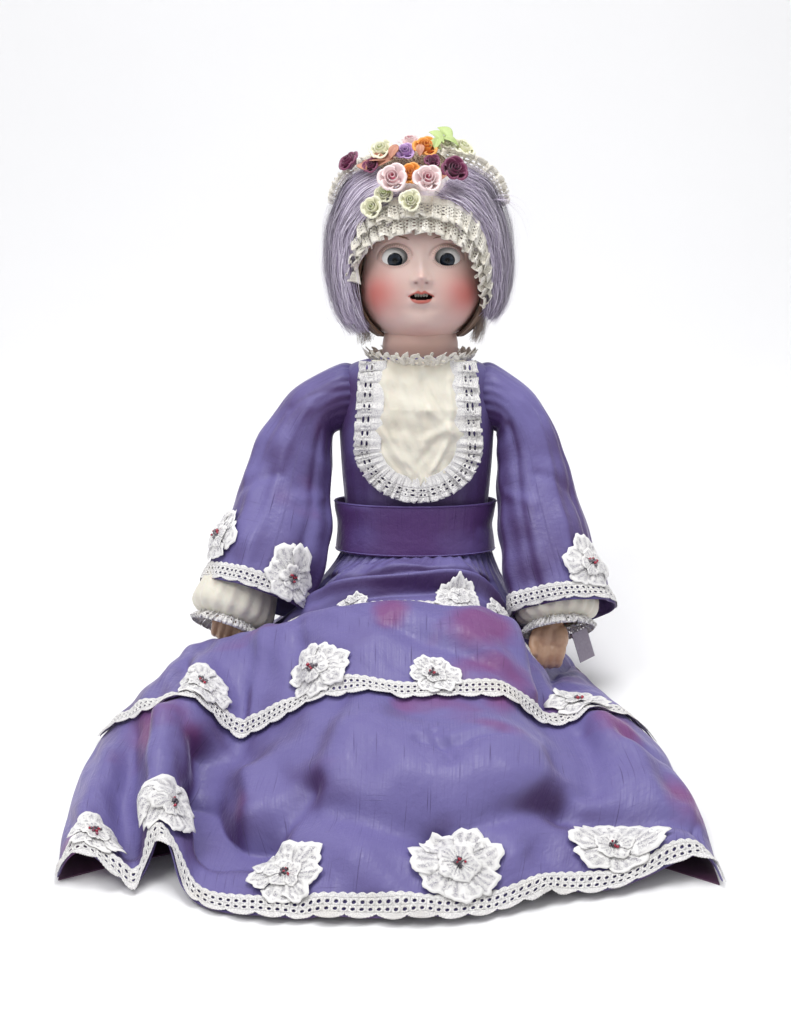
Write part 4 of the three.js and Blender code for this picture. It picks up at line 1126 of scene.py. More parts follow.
def modelling(x, z):
    """How far the face stands out from the round of the head."""
    mid = x - HEAD_X
    ridge = 3.6 * np.exp(-(mid / 4.2) ** 2) * np.clip((z - 283) / 6, 0, 1) * np.clip((316 - z) / 22, 0, 1)
    out = ridge + 6.2 * hump(x, z, HEAD_X, 288.6, 5.6, 4.8)
    out += 0.9 * np.exp(-(mid / 7) ** 2 - ((z - 285.5) / 3.5) ** 2)
    for side in (1, -1):
        out += 2.6 * hump(x, z, HEAD_X + side * 6.2, 286.0, 2.7, 2.6)
        out -= 1.2 * hump(x, z, HEAD_X + side * 4.2, 284.0, 1.6, 1.1)
        out -= 3.0 * hump(x, z, HEAD_X + side * 21, 305, 13, 10)
        out += 2.6 * hump(x, z, HEAD_X + side * 32, 274, 17, 17)
        out += 1.2 * hump(x, z, HEAD_X + side * 19, 322, 14, 5)
        out -= 0.8 * hump(x, z, HEAD_X + side * 10.2, 272.8, 2.0, 2.4)
    for side in ("left", "right"):
        ring = eye_ring(x, z, side)
        above = np.clip((z - EYES[side][1] + 3) / 6, 0, 1)
        out += 2.3 * np.exp(-((ring - 1.08) / 0.2) ** 2) * (0.45 + 0.55 * above)
        out -= 1.1 * np.exp(-((ring - 1.42) / 0.08) ** 2) * above
    bow = 1.3 * np.exp(-(np.abs(mid) - 3.2) ** 2 / 6) - 0.3
    out += 2.3 * np.exp(-((z - 276.3 - bow * 0.6) / 2.0) ** 2 - (mid / 8.4) ** 4)
    out += 2.3 * np.exp(-((z - 268.6) / 2.3) ** 2 - (mid / 6.8) ** 4)
    out -= 0.9 * np.exp(-(mid / 1.7) ** 2) * np.exp(-((z - 280.5) / 1.8) ** 2)
    out -= 1.9 * hump(x, z, HEAD_X, 263.3, 11, 3.4)
    out += 3.2 * hump(x, z, HEAD_X, 250, 12, 8)
    return out


def skull(turn, z, proud=0.0):
    """The round of the head at an angle from the face and a height, in the trunk's frame."""
    level = np.sqrt(np.clip(1 - ((z - HEAD_Z) / (66 + proud)) ** 2, 0.0, 1))
    x = HEAD_X + (width_at(z) + proud) * level * np.sin(turn)
    y = HEAD_Y - (depth_at(z) + proud) * level * np.cos(turn)
    return x, y


def face_y(x, z, proud=0.0):
    """How far forward the face is, seen from the front."""
    level = np.sqrt(np.clip(1 - ((z - HEAD_Z) / 66) ** 2, 0.0, 1))
    wide = np.clip(1 - ((x - HEAD_X) / np.maximum((width_at(z) + proud) * level, 1)) ** 2, 0, 1)
    return HEAD_Y - (depth_at(z) + proud) * level * np.sqrt(wide) - modelling(x, z)


turns = np.radians(np.concatenate([np.linspace(-180, -96, 14)[:-1], np.linspace(-96, 96, 270),
                                   np.linspace(96, 180, 14)[1:-1]]))
heights = np.concatenate([np.linspace(356, 326, 30)[:-1], np.linspace(326, 244, 128)[:-1],
                          np.linspace(244, 233.6, 20)])
grid_z, grid_t = np.meshgrid(heights, turns, indexing="ij")
round_x, _ = skull(grid_t.ravel(), grid_z.ravel())
flat_z = grid_z.ravel()
in_front = np.clip(np.cos(grid_t.ravel()) * 1.6 - 0.1, 0, 1)
for side in EYES:
    near = eye_ring(round_x, flat_z, side)
    snap = (near > 0.95) & (near < 1.055) & (in_front > 0)
    cx, cz = EYES[side]
    round_x = np.where(snap, cx + (round_x - cx) / near, round_x)
    flat_z = np.where(snap, cz + (flat_z - cz) / near, flat_z)
rest_y = HEAD_Y - depth_at(flat_z) * np.sqrt(np.clip(1 - ((flat_z - HEAD_Z) / 66) ** 2, 0, 1)) * np.cos(
    grid_t.ravel())
face = np.stack([round_x, rest_y - modelling(round_x, flat_z) * in_front, flat_z], axis=-1)
head_faces = net_faces(len(heights), len(turns), True)
hole = np.zeros(len(face), bool)
for side in EYES:
    hole |= (eye_ring(round_x, flat_z, side) < 0.985) & (in_front > 0)
hole |= (mouth_ring(round_x, flat_z) < 0.9) & (in_front > 0)
head_faces = head_faces[~hole[head_faces].any(axis=1)]

bisque = new_finish("bisque_porcelain", Roughness=0.46, Subsurface_Weight=0.16, Subsurface_Scale=0.003,
                    Specular_IOR_Level=0.42, Coat_Weight=0.05, Coat_Roughness=0.35)
# The vertex colours: china paint, with painted shade in the nostrils and a painted shadow on the forehead.
paint = step(bisque, "VertexColor", layer_name="Paint").outputs["Color"]
mottle = between(bisque, cloudy(bisque, where(bisque), 70, 4), 0.35, 0.75)
pores = between(bisque, cloudy(bisque, where(bisque), 1500, 2), 0.62, 0.75)
aged_skin = dye(bisque, calc(bisque, "MULTIPLY", mottle, 0.10), paint, (0.45, 0.28, 0.24))
colour(bisque, dye(bisque, calc(bisque, "MULTIPLY", pores, 0.12), aged_skin, (0.3, 0.18, 0.15)))
relief(bisque, cloudy(bisque, where(bisque), 700, 3), 0.00012, 0.4)


def china_paint_and_shade(x, z, front):
    """The colours on the face: fired china paint for flushed cheeks, coral lips and a breath of pink on lids,
    nose and chin; painted shade in the nostrils, and a painted shadow over the forehead under the bonnet's
    lace.
    """
    tone = np.tile(np.array([0.70, 0.53, 0.48]), (len(x), 1))

    def wash(amount, shade):
        nonlocal tone
        amount = (amount * front)[:, None]
        tone = tone * (1 - amount) + np.array(shade) * amount
    for side in (1, -1):
        wash(0.95 * hump(x, z, HEAD_X + side * 37, 275, 19, 19), (0.60, 0.17, 0.15))
        wash(0.30 * hump(x, z, HEAD_X + side * 21.5, 318, 13, 5), (0.62, 0.38, 0.36))
        # Dark nostril dots: painted shade in the nostril pits.
        wash(0.9 * hump(x, z, HEAD_X + side * 4.3, 284.4, 1.5, 0.95), (0.14, 0.04, 0.035))
    wash(0.18 * hump(x, z, HEAD_X, 290, 5, 5), (0.85, 0.5, 0.46))
    wash(0.45 * hump(x, z, HEAD_X, 241, 30, 9), (0.58, 0.26, 0.23))
    # Painted shadow: the forehead darkened where the bonnet's lace shades it.
    wash(0.55 * hump(x, z, HEAD_X, 333, 48, 17), (0.44, 0.27, 0.25))
    for side in EYES:
        ring = eye_ring(x, z, side)
        wash(0.55 * np.exp(-((ring - 1.03) / 0.07) ** 2), (0.20, 0.11, 0.10))
        above = (z > EYES[side][1] + 1) * 0.45
        wash(above * np.exp(-((ring - 1.40) / 0.07) ** 2), (0.38, 0.22, 0.20))
    mid = (x - HEAD_X) / 10.9
    bow = 1.5 * np.exp(-((np.abs(x - HEAD_X) - 3.0) / 2.4) ** 2) - 0.4 * np.exp(-((x - HEAD_X) / 1.3) ** 2)
    top = MOUTH_Z + (4.1 + bow) * np.sqrt(np.clip(1 - np.abs(mid) ** 1.7, 0, 1))
    low = MOUTH_Z - 5.4 * np.sqrt(np.clip(1 - np.abs((x - HEAD_X) / 9.0) ** 2.4, 0, 1))
    lips = np.clip((top - z) / 0.7 + 0.5, 0, 1) * np.clip((z - low) / 0.7 + 0.5, 0, 1) * (np.abs(mid) < 1)
    wash(0.93 * lips, (0.50, 0.10, 0.075))
    wash(0.5 * lips * np.exp(-((z - MOUTH_Z) / 1.6) ** 2), (0.3, 0.03, 0.03))
    return np.clip(tone, 0, 1)


def add_paint_and_shade(piece, shades):
    layer = piece.data.color_attributes.new("Paint", "FLOAT_COLOR", "POINT")
    layer.data.foreach_set("color", np.concatenate([shades, np.ones((len(shades), 1))], 1).ravel())


neck_turn = np.linspace(0, 2 * math.pi, 65)[:-1]
neck_rows = [(203, 28, 27, 5), (212, 29.5, 28, 4), (224, 31.5, 30, 2), (234, 32, 32, 0), (244, 30, 32, 0)]
neck_fine = smooth_through(neck_rows, np.linspace(0, 1, 24))
neck = np.stack([np.stack([HEAD_X + r[1] * np.sin(neck_turn), r[3] - r[2] * np.cos(neck_turn),
                           np.full(64, r[0])], -1) for r in neck_fine]).reshape(-1, 3)
shades = china_paint_and_shade(face[:, 0], face[:, 2], in_front)
neck_shades = np.tile(np.array([0.62, 0.42, 0.37]), (len(neck), 1))
neck_faces = net_faces(24, 64, True)[:, ::-1] + len(face)
head_piece = add_mesh("porcelain_head", leaning(np.concatenate([face, neck])),
                      np.concatenate([head_faces, neck_faces]), bisque)
add_paint_and_shade(head_piece, np.concatenate([shades, neck_shades]))
hang(head_piece, "head", "bisque", "bisque_head")

# Mouth: a near-black pocket behind the lips, painted shade for the shadowed hollow inside the head, and the
# row of little porcelain teeth set in the upper gum.
dark = new_finish("mouth_painted_shade", Roughness=0.9)
colour(dark, dye(dark, cloudy(dark, where(dark), 300, 2), (0.012, 0.004, 0.004), (0.03, 0.008, 0.008)))
# The near-black of the pocket is painted shade.
pocket_x, pocket_z = np.meshgrid(np.linspace(-12, 12, 21), np.linspace(-7, 6, 13))
pocket_y = face_y(HEAD_X + pocket_x, MOUTH_Z + pocket_z) + 6.5 - 0.02 * pocket_x**2
pocket = add_mesh("mouth_shade_pocket", leaning(np.stack([HEAD_X + pocket_x, pocket_y, MOUTH_Z + pocket_z], -1)),
                  net_faces(13, 21), dark)
hang(pocket, "head", "bisque")
enamelled = new_finish("tooth_porcelain", Roughness=0.25, Coat_Weight=0.3)
colour(enamelled,
       dye(enamelled, cloudy(enamelled, where(enamelled), 500, 2), (0.62, 0.58, 0.52), (0.5, 0.44, 0.38)))
teeth_points, teeth_faces = [], []
for k in range(5):
    ball, quads = round_bead(1.0, 12, 9)
    middle_x = HEAD_X + (k - 2) * 2.25
    front = float(face_y(np.array([middle_x]), np.array([MOUTH_Z + 1.0]))[0]) + 3.6
    tooth = ball * [1.12, 0.9, 1.9] + [middle_x, front, MOUTH_Z + 1.9]
    teeth_faces.append(quads + sum(len(p) for p in teeth_points))
    teeth_points.append(tooth)
teeth = add_mesh("porcelain_teeth", leaning(np.concatenate(teeth_points)), np.concatenate(teeth_faces),
                 enamelled)
hang(teeth, "head", "teeth", "upper_teeth")

# Sleep eyes. Blown glass globes with a threaded grey-blue iris and, above, a waxed flesh-coloured lid that
# rolls down when the doll is laid back. Both sit on a wire with a lead weight behind.
glass = new_finish("eye_glass", Roughness=0.08, Coat_Weight=0.25, Coat_Roughness=0.03, Specular_IOR_Level=0.2)
spot = step(glass, "UVMap", uv_map="Weave").outputs["UV"]
far = step(glass, "VectorMath", {0: spot}, operation="LENGTH").outputs["Value"]
axes = step(glass, "SeparateXYZ", {"Vector": spot})
spoke = calc(glass, "ARCTAN2", axes.outputs["X"], axes.outputs["Y"])
rays = step(glass, "CombineXYZ",
            {"X": calc(glass, "MULTIPLY", spoke, 7.0), "Y": calc(glass, "MULTIPLY", far, 260.0)})
fibre = cloudy(glass, rays.outputs["Vector"], 1.6, 2)
iris = dye(glass, between(glass, fibre, 0.4, 0.65), (0.005, 0.008, 0.014), (0.026, 0.037, 0.058))
with_pupil = dye(glass, between(glass, far, 0.0021, 0.0025), (0.002, 0.002, 0.003), iris)
with_ring = dye(glass, between(glass, far, 0.0050, 0.0058), with_pupil, (0.006, 0.007, 0.010))
whites = dye(glass, cloudy(glass, where(glass), 200, 2), (0.74, 0.73, 0.72), (0.82, 0.80, 0.78))
with_white = dye(glass, between(glass, far, 0.0062, 0.0066), with_ring, whites)
colour(glass, dye(glass, between(glass, axes.outputs["Y"], 0.0112, 0.0116), with_white, (0.70, 0.50, 0.45)))
GAZE = math.radians(-11)
for side, sign in SIDES.items():
    off, about = np.meshgrid(np.linspace(0.02, 2.1, 44), np.linspace(0, 2 * math.pi, 65)[:-1], indexing="ij")
    ball = np.stack([np.sin(off) * np.cos(about), -np.cos(off), np.sin(off) * np.sin(about)],
                    -1).reshape(-1, 3)
    c, s = math.cos(GAZE), math.sin(GAZE)
    ball = np.stack([ball[:, 0], ball[:, 1] * c + ball[:, 2] * s * 1.0, -ball[:, 1] * s + ball[:, 2] * c], -1)
    swell = 0.5 * np.exp(-(off.ravel() / 0.5) ** 2)
    globe = ball * (12.9 + swell)[:, None] + [EYES[side][0], -33.5, 305]
    arc = np.stack([off * 12.9 * np.cos(about), off * 12.9 * np.sin(about)], -1).reshape(-1, 2)
    eye = add_mesh("glass_eye_" + side, leaning(globe), net_faces(44, 64, True), glass, arc)
    hang(eye, "eyes", "eye_glass", side + "_eye")
lead = new_finish("eye_lead", Roughness=0.5, Metallic=0.8)
colour(lead, dye(lead, cloudy(lead, where(lead), 200, 3), (0.12, 0.12, 0.13), (0.28, 0.28, 0.3)))
give(["eye_rocker"], lead)

# Brows and lashes: single strokes of a fine brush, fired on top of the flesh colour.
stroke_paint = new_finish("brow_paint", Roughness=0.5)
colour(stroke_paint,
       dye(stroke_paint, cloudy(stroke_paint, where(stroke_paint), 400, 2), (0.17, 0.085, 0.055),
                         (0.30, 0.17, 0.11)))


def brush_strokes(name, strokes, finish, body="head"):
    """strokes: (x0, z0, x1, z1, bow, width) on the face, each a hair-thin leaf of paint."""
    points, faces = [], []
    for x0, z0, x1, z1, bow, width in strokes:
        t = np.linspace(0, 1, 7)
        ax, az = x1 - x0, z1 - z0
        size = math.hypot(ax, az)
        nx, nz = -az / size, ax / size
        taper = width * 0.5 * np.sin(np.clip(t * 0.86 + 0.12, 0, 1) * math.pi) ** 0.7
        cx = x0 + ax * t + nx * bow * np.sin(t * math.pi)
        cz = z0 + az * t + nz * bow * np.sin(t * math.pi)
        rows = []
        for aside in (-1, 1):
            x, z = cx + nx * taper * aside, cz + nz * taper * aside
            rows.append(np.stack([x, face_y(x, z) - 0.12, z], -1))
        faces.append(net_faces(2, 7) + 14 * len(points))
        points.append(np.concatenate(rows))
    piece = add_mesh(name, leaning(np.concatenate(points)), np.concatenate(faces), finish)
    hang(piece, body, "bisque")
    return piece


strokes = []
rng = np.random.default_rng(5)
for side, sign in SIDES.items():
    cx, cz = EYES[side]
    for k in range(26):
        f = k / 25
        x = HEAD_X + sign * (9.5 + 25 * f)
        z = 319.5 + 5.5 * math.sin(f * math.pi * 0.8) - 2.0 * f + rng.uniform(-0.5, 0.5)
        strokes.append((x, z, x + sign * 4.2, z + 1.6 - 3.2 * f, 0.3, 0.55))
    for k in range(17):
        a = math.radians(18 + 144 * k / 16)
        x, z = cx + EYE_HALF * 1.05 * math.cos(a), cz + EYE_TOP * 1.06 * math.sin(a)
        size = 2.6
        strokes.append((x, z, x + size * math.cos(a) * 0.9, z + size * math.sin(a) * 0.9, 0.15, 0.22))
    for k in range(19):
        a = math.radians(-162 + 144 * k / 18)
        x, z = cx + EYE_HALF * 1.04 * math.cos(a), cz + EYE_LOW * 1.06 * math.sin(a)
        size = 2.9
        strokes.append((x, z, x + size * math.cos(a) * 0.9, z + size * math.sin(a) * 0.75, 0.15, 0.22))
brush_strokes("brow_and_lash_paint", strokes, stroke_paint)

# Crown pate: a cork and card cap glued over the open crown; the wig is glued to it.
pate = new_finish("pate_card", Roughness=0.95)
fibres = cloudy(pate, where(pate), 300, 4)
colour(pate, dye(pate, fibres, (0.42, 0.3, 0.18), (0.24, 0.16, 0.09)))
relief(pate, fibres, 0.0006)
give(["crown_pate"], pate)

# Wig. Brown mohair, combed down and curled under behind the cheeks; little of it shows below the bonnet.
mohair = new_finish("mohair", Roughness=0.55, Sheen_Weight=0.2)
strand_tone = step(mohair, "SeparateXYZ", {"Vector": step(mohair, "UVMap", uv_map="Weave").outputs["UV"]})
hair_mix = between(mohair, calc(mohair, "FRACT", calc(mohair, "MULTIPLY", strand_tone.outputs["X"], 977.0)),
                   0, 1)
colour(mohair, dye(mohair, hair_mix, (0.06, 0.03, 0.016), (0.24, 0.13, 0.065)))


def add_strands(name, paths, widths, finish, tones, facing):
    """Fine flat strands: paths is (count, steps, 3) in the trunk's frame, widths in mm at each step."""
    count, steps, _ = paths.shape
    along = np.gradient(paths, axis=1)
    away = paths - facing
    aside = np.cross(along, away)
    aside /= np.maximum(np.linalg.norm(aside, axis=2, keepdims=True), 1e-6)
    left = paths - aside * widths[..., None] / 2
    right = paths + aside * widths[..., None] / 2
    points = np.stack([left, right], axis=2).reshape(-1, 3)
    k, j = np.meshgrid(np.arange(count), np.arange(steps - 1), indexing="ij")
    first = k * steps * 2 + j * 2
    faces = np.stack([first, first + 1, first + 3, first + 2], -1).reshape(-1, 4)
    length = np.tile(np.linspace(0, 60, steps)[None, :, None], (count, 1, 2))
    flat = np.stack([np.tile(np.asarray(tones)[:, None, None], (1, steps, 2)), length], -1)
    return add_mesh(name, leaning(points), faces, finish, flat.reshape(-1, 2))


def strand_paths(inner, outer, count, seed, loose=1.2, start=(0.0, 0.25), end=(0.75, 1.05), steps=18,
                 bias=1.0):
    """Strands that run between two guide curves, with a little scatter."""
    rng = np.random.default_rng(seed)
    inner, outer = np.array(inner, float), np.array(outer, float)
    paths = []
    for _ in range(count):
        s = rng.uniform(0, 1) ** bias
        guide = inner * (1 - s) + outer * s
        guide = guide + rng.normal(0, loose, guide.shape)
        t = np.linspace(rng.uniform(*start), min(rng.uniform(*end), 1.0), steps)
        paths.append(smooth_through(guide, t))
    return np.array(paths)


HEAD_MID = np.array([HEAD_X, 10.0, 295.0])
for side, sign in SIDES.items():
    inner = [(HEAD_X + sign * x, y, z) for x, y,
             z in ((44, -22, 312), (49, -22, 285), (47, -20, 258), (42, -16, 238))]
    outer = [(HEAD_X + sign * x, y, z) for x, y,
             z in ((58, 6, 320), (61, 8, 285), (58, 10, 252), (52, 14, 232))]
    locks = strand_paths(inner, outer, 260, 70 + sign, 1.6, (0, 0.05), (0.8, 1.1), 14)
    sway = np.sin(np.linspace(0, 9, 14))[None, :] * np.random.default_rng(3).uniform(0.4, 1.6, (260, 1))
    locks[:, :, 0] += sway
    thick = np.tile(np.linspace(1.3, 0.3, 14), (260, 1))
    hair = add_strands("mohair_lock_" + side, locks, thick, mohair,
                       np.random.default_rng(4).uniform(0, 9, 260), HEAD_MID)
    hang(hair, "head", "hair")


def wig_surface(across, down):
    """The cap of hair behind the face, from one temple round the back to the other."""
    turn = math.radians(58) + np.asarray(across, float) * math.radians(244)
    z = 352 - 112 * np.asarray(down, float)
    x, y = skull(turn, z, 6.0)
    comb = 0.5 * np.sin(turn * 60) + 0.4 * np.sin(turn * 37 + 1)
    return leaning(np.stack([x + comb * np.sin(turn), y - comb * np.cos(turn), z], -1))


wig, cut = add_cloth("mohair_wig", wig_surface, (0, 1, 0, 1), mohair, (300, 40), 2.0)
hang(wig, "head", "hair", "wig")

# Bonnet. A cap of cream net on a silk lining, shaped like an old boudoir cap. Two rows of gathered cream
# lace stand round the face and a third stands up behind; grey-lilac feathers fall over both sides.
cap_silk = new_finish("bonnet_silk", Roughness=0.7, Sheen_Weight=0.4)
ruched = cloudy(cap_silk, where(cap_silk, scale=(1, 1, 3)), 90, 4, 0.6)
colour(cap_silk, dye(cap_silk, between(cap_silk, ruched, 0.35, 0.65), (0.62, 0.55, 0.62), (0.78, 0.74, 0.70)))
relief(cap_silk, ruched, 0.003, 0.5)


def cap_surface(around, down):
    """around from the face; down from the crown to the cap's edge."""
    turn = np.asarray(around, float) * 2 * math.pi
    off = np.degrees(np.abs(np.mod(turn + math.pi, 2 * math.pi) - math.pi))
    edge = 58 + 38 * np.clip((off - 18) / 45, 0, 1)
    polar = np.radians(4 + (edge - 4) * np.asarray(down, float))
    gather = 0.9 * np.sin(turn * 38) * np.clip(np.asarray(down) - 0.35, 0, 1) + 0.6 * np.sin(turn * 23 + 2)
    grow = 11.2 + gather
    x = HEAD_X + (52 + grow) * np.sin(turn) * np.sin(polar)
    y = HEAD_Y - (57 + grow) * np.cos(turn) * np.sin(polar)
    z = HEAD_Z + (66 + grow + 13 * np.clip(np.cos(polar), 0, 1) ** 2) * np.cos(polar)
    return leaning(np.stack([x, y, z], -1))


cap, cut = add_cloth("bonnet_cap_silk", cap_surface, (0, 1, 0, 1), cap_silk, (260, 70), 1.2, round_about=True)
hang(cap, "head", "bonnet", "bonnet_cap")

# Bonnet's face lace, as two frills: seams and free edges as (x, z), on the brow and down the cheeks.
FRILL_LINES = {
    "lower": ([(-47, 283), (-49, 300), (-47, 320), (-39, 333), (-26, 338), (-8, 340), (8, 340), (24, 338),
               (38, 332), (48, 320), (54, 304), (57, 288), (57, 272), (53, 262)],
              [(-52, 283), (-49, 297), (-42, 309), (-34, 317), (-23, 321), (-8, 324.5), (8, 324.5), (22, 321),
               (33, 315), (41, 306), (46, 295), (49, 283), (51, 272), (51, 262)], 350, 6.0),
    "upper": ([(-54, 292), (-55, 310), (-50, 330), (-40, 344), (-26, 350), (-8, 352), (8, 352), (25, 350),
               (39, 344), (50, 332), (57, 315), (61, 297), (62, 280), (59, 268)],
              [(-54, 288), (-50, 304), (-45, 318), (-36, 329), (-23, 334), (-8, 337), (8, 337), (23, 334),
               (35, 328), (44, 318), (50, 304), (54, 289), (56, 276), (55, 266)], 360, 9.0),
}


def frill_path(name):
    seam, edge, _, proud = FRILL_LINES[name]
    seam, edge = np.array(seam, float), np.array(edge, float)

    def path(t, drop, lift):
        f = (drop / 17)[:, None]
        point = smooth_through(seam, t) * (1 - f) + smooth_through(edge, t) * f
        x, z = point[:, 0], point[:, 1]
        spread = np.clip(1 - ((x - HEAD_X) / 66) ** 2, 0.04, 1)
        level = np.sqrt(np.clip(1 - ((z - HEAD_Z) / 92) ** 2, 0, 1))
        y = HEAD_Y - (55 + proud) * level * np.sqrt(spread) - lift
        out = (x - HEAD_X) / 66
        return leaning(np.stack([x + out * lift * 0.8, y, z + 0.25 * lift], -1))
    return path


for seed, name in enumerate(FRILL_LINES):
    full = FRILL_LINES[name][2]
    parts = [
        trimmed_strip(full, lambda s: 0 * s - 3, lambda s: 0 * s + 5.0, 5, 0.2, 1.0),
        eyelet_cells(full, 3, 3.05, 5.0, 0.25, 12),
        trimmed_strip(full, lambda s: 0 * s + 14.1, lambda s: 15.6 + scallops(3.6, 13, 0.4)(s), 3, 0.5, 0.8),
    ]
    place = gathered(17, frill_path(name), full, 19, 6.5, 80 + seed)
    frill = add_lace("lace_bonnet_" + name, parts, place, ivory_lace)
    replaced = ["bonnet_face_lace"] if name == "lower" else []
    hang(frill, "head", "lace", *replaced)


BACK_SEAM = [(-60, 346), (-60, 354), (-56, 364), (-44, 374), (-22, 381), (4, 383), (28, 381), (46, 376),
             (58, 366), (63, 356), (64, 346)]


def back_frill_path(t, drop, lift):
    """A frill that stands up behind the feathers and the flowers, from one side to the other."""
    seam = smooth_through(np.array(BACK_SEAM, float), t)
    x, z = seam[:, 0], seam[:, 1]
    away = np.stack([x - HEAD_X, z - 322], -1)
    away /= np.linalg.norm(away, axis=1, keepdims=True)
    x = x + away[:, 0] * drop * 0.8
    z = z + away[:, 1] * drop * 0.8
    return leaning(np.stack([x, 6 - lift + 0.25 * drop, z], -1))


full = 300
parts = [
    trimmed_strip(full, lambda s: 0 * s, lambda s: 0 * s + 7.0, 5, 0.2, 1.0),
    eyelet_cells(full, 2, 4.0, 7.0, 0.3),
    trimmed_strip(full, lambda s: 0 * s + 14.9, lambda s: 17 + scallops(3, 9, 0.5)(s), 3, 0.5, 0.9),
]
back_frill = add_lace("lace_bonnet_back", parts, gathered(20, back_frill_path, full, 17, 6, 91), ivory_lace)
hang(back_frill, "head", "lace", "bonnet_back_frill")

# Feathers. Two dyed goose plumes a side, tied in under the flowers, whose soft barbs fall past the cheeks.
plume = new_finish("lilac_feather", Roughness=0.6, Sheen_Weight=0.35)
barb = step(plume, "SeparateXYZ", {"Vector": step(plume, "UVMap", uv_map="Weave").outputs["UV"]})
barb_mix = calc(plume, "FRACT", calc(plume, "MULTIPLY", barb.outputs["X"], 977.0))
pale = dye(plume, between(plume, barb_mix, 0.1, 0.75), (0.38, 0.31, 0.46), (0.76, 0.70, 0.81))
deep = dye(plume, between(plume, barb_mix, 0.90, 0.93), pale, (0.10, 0.055, 0.13))
tips = between(plume, barb.outputs["Y"], 0.045, 0.062)
colour(plume, dye(plume, calc(plume, "MULTIPLY", tips, 0.45), deep, (0.22, 0.15, 0.28)))
PLUMES = {
    "right": ([(-10, -50, 354), (-32, -48, 345), (-51, -36, 322), (-54, -36, 292), (-49, -38, 264),
               (-41, -36, 247)],
              [(-36, -16, 386), (-62, -8, 370), (-76, -2, 336), (-78, 0, 298), (-70, -4, 262),
               (-57, -10, 241)]),
    "left": ([(14, -50, 354), (36, -48, 346), (55, -36, 324), (60, -30, 296), (60, -30, 272), (57, -28, 258)],
             [(40, -16, 386), (65, -8, 370), (78, -2, 338), (82, 0, 300), (77, -4, 270), (66, -10, 251)]),
}
for side, (inner, outer) in PLUMES.items():
    groups = [strand_paths(inner, outer, 760, 100 + len(side), 1.9, (0, 0.30), (0.72, 1.04)),
              strand_paths(np.array(inner) + [0, 3, -1], np.array(outer) * [0.97, 1, 1] + [0, 4, 0], 260,
                           120 + len(side), 2.2, (0, 0.1), (0.9, 1.1))]
    barbs = np.concatenate(groups)
    sign = SIDES[side]
    fly = strand_paths([(x, y - 4, z) for x, y, z in inner],
                       [(x + sign * 4, y, z + 2) for x, y, z in outer], 70,
                       140 + len(side), 3.4, (0.1, 0.4), (0.8, 1.0))
    barbs = np.concatenate([barbs, fly])
    count = len(barbs)
    steps = np.linspace(0, 1, barbs.shape[1])
    size = np.random.default_rng(7).uniform(0.35, 1.25, count)
    size[-70:] = 0.35
    widths = size[:,
                  None] * (0.15 + 0.85 * np.sin(np.clip(steps * 0.9 + 0.08, 0, 1) * math.pi) ** 0.6)[None, :]
    tones = np.random.default_rng(8).uniform(0, 9, count)
    feather = add_strands("feather_barbs_" + side, barbs, widths, plume, tones, HEAD_MID)
    hang(feather, "head", "feather", "feather_" + side)

    lower, upper = np.array(inner, float), np.array(outer, float)

    def under_down(across, down, lower=lower, upper=upper):
        """The soft down close to the cap, under the loose barbs."""
        a = np.asarray(across, float)[:, None]
        guide_in = smooth_through(lower, np.asarray(down) * 0.93)
        guide_out = smooth_through(upper, np.asarray(down) * 0.93)
        middle = guide_in * (1 - a) + guide_out * a
        bulge = np.sin(np.clip(a, 0, 1) * math.pi) * 3.0
        away = middle - HEAD_MID
        away /= np.linalg.norm(away, axis=1, keepdims=True)
        comb = 0.5 * np.sin(a * 90) + 0.35 * np.sin(a * 57 + 1)
        return leaning(middle + away * (bulge - 2.6 + comb))
    down_skin, cut = add_cloth("feather_down_" + side, under_down, (0.04, 0.96, 0.0, 0.97), plume, (90, 50),
                               1.5)
    hang(down_skin, "head", "feather")

wisps = strand_paths([(60, -20, 352), (74, -16, 350), (86, -12, 338), (92, -10, 318)],
                     [(62, -14, 356), (80, -10, 356), (95, -8, 342), (99, -6, 316)], 16, 155, 0.8, (0, 0.1),
                     (0.7, 1.0))
wisp_width = np.tile(0.42 * (1 - np.linspace(0, 0.7, 18)), (16, 1))
wisp = add_strands("feather_wisp", wisps, wisp_width, plume, np.random.default_rng(9).uniform(0, 9, 16),
                   HEAD_MID)
hang(wisp, "head", "feather")

# Ribbon flowers. Each rose is one strip of satin ribbon, rolled into a bud and folded back into petals,
# and stitched to the cap among wired ribbon leaves.
# Each ribbon as (its colour in the light, the deeper colour of its painted shade).
RIBBONS = {
    "plum": ((0.20, 0.035, 0.10), (0.09, 0.015, 0.05)), "cream": ((0.88, 0.87, 0.68), (0.60, 0.66, 0.34)),
    "pink": ((0.92, 0.76, 0.76), (0.66, 0.09, 0.20)), "orange": ((0.90, 0.38, 0.07), (0.62, 0.16, 0.03)),
    "lilac": ((0.52, 0.33, 0.62), (0.24, 0.11, 0.34)),
}
ribbon = {}
for name, (light, shaded_tone) in RIBBONS.items():
    made = new_finish("ribbon_" + name, Roughness=0.38, Sheen_Weight=0.3)
    spread = step(made, "SeparateXYZ", {"Vector": step(made, "UVMap", uv_map="Weave").outputs["UV"]})
    # Painted shade and highlight: the shaded tone towards each rose's heart and the petals' roots, the lit
    # colour towards the rims.
    painted_shade_amount = between(made, calc(made, "ADD", spread.outputs["X"], calc(
        made, "MULTIPLY", cloudy(made, where(made), 220, 2), 0.3)), 0.72, 0.38)
    colour(made, dye(made, painted_shade_amount, light, shaded_tone))
    relief(made, cloudy(made, where(made), 500, 2), 0.0004, 0.5)
    ribbon[name] = made

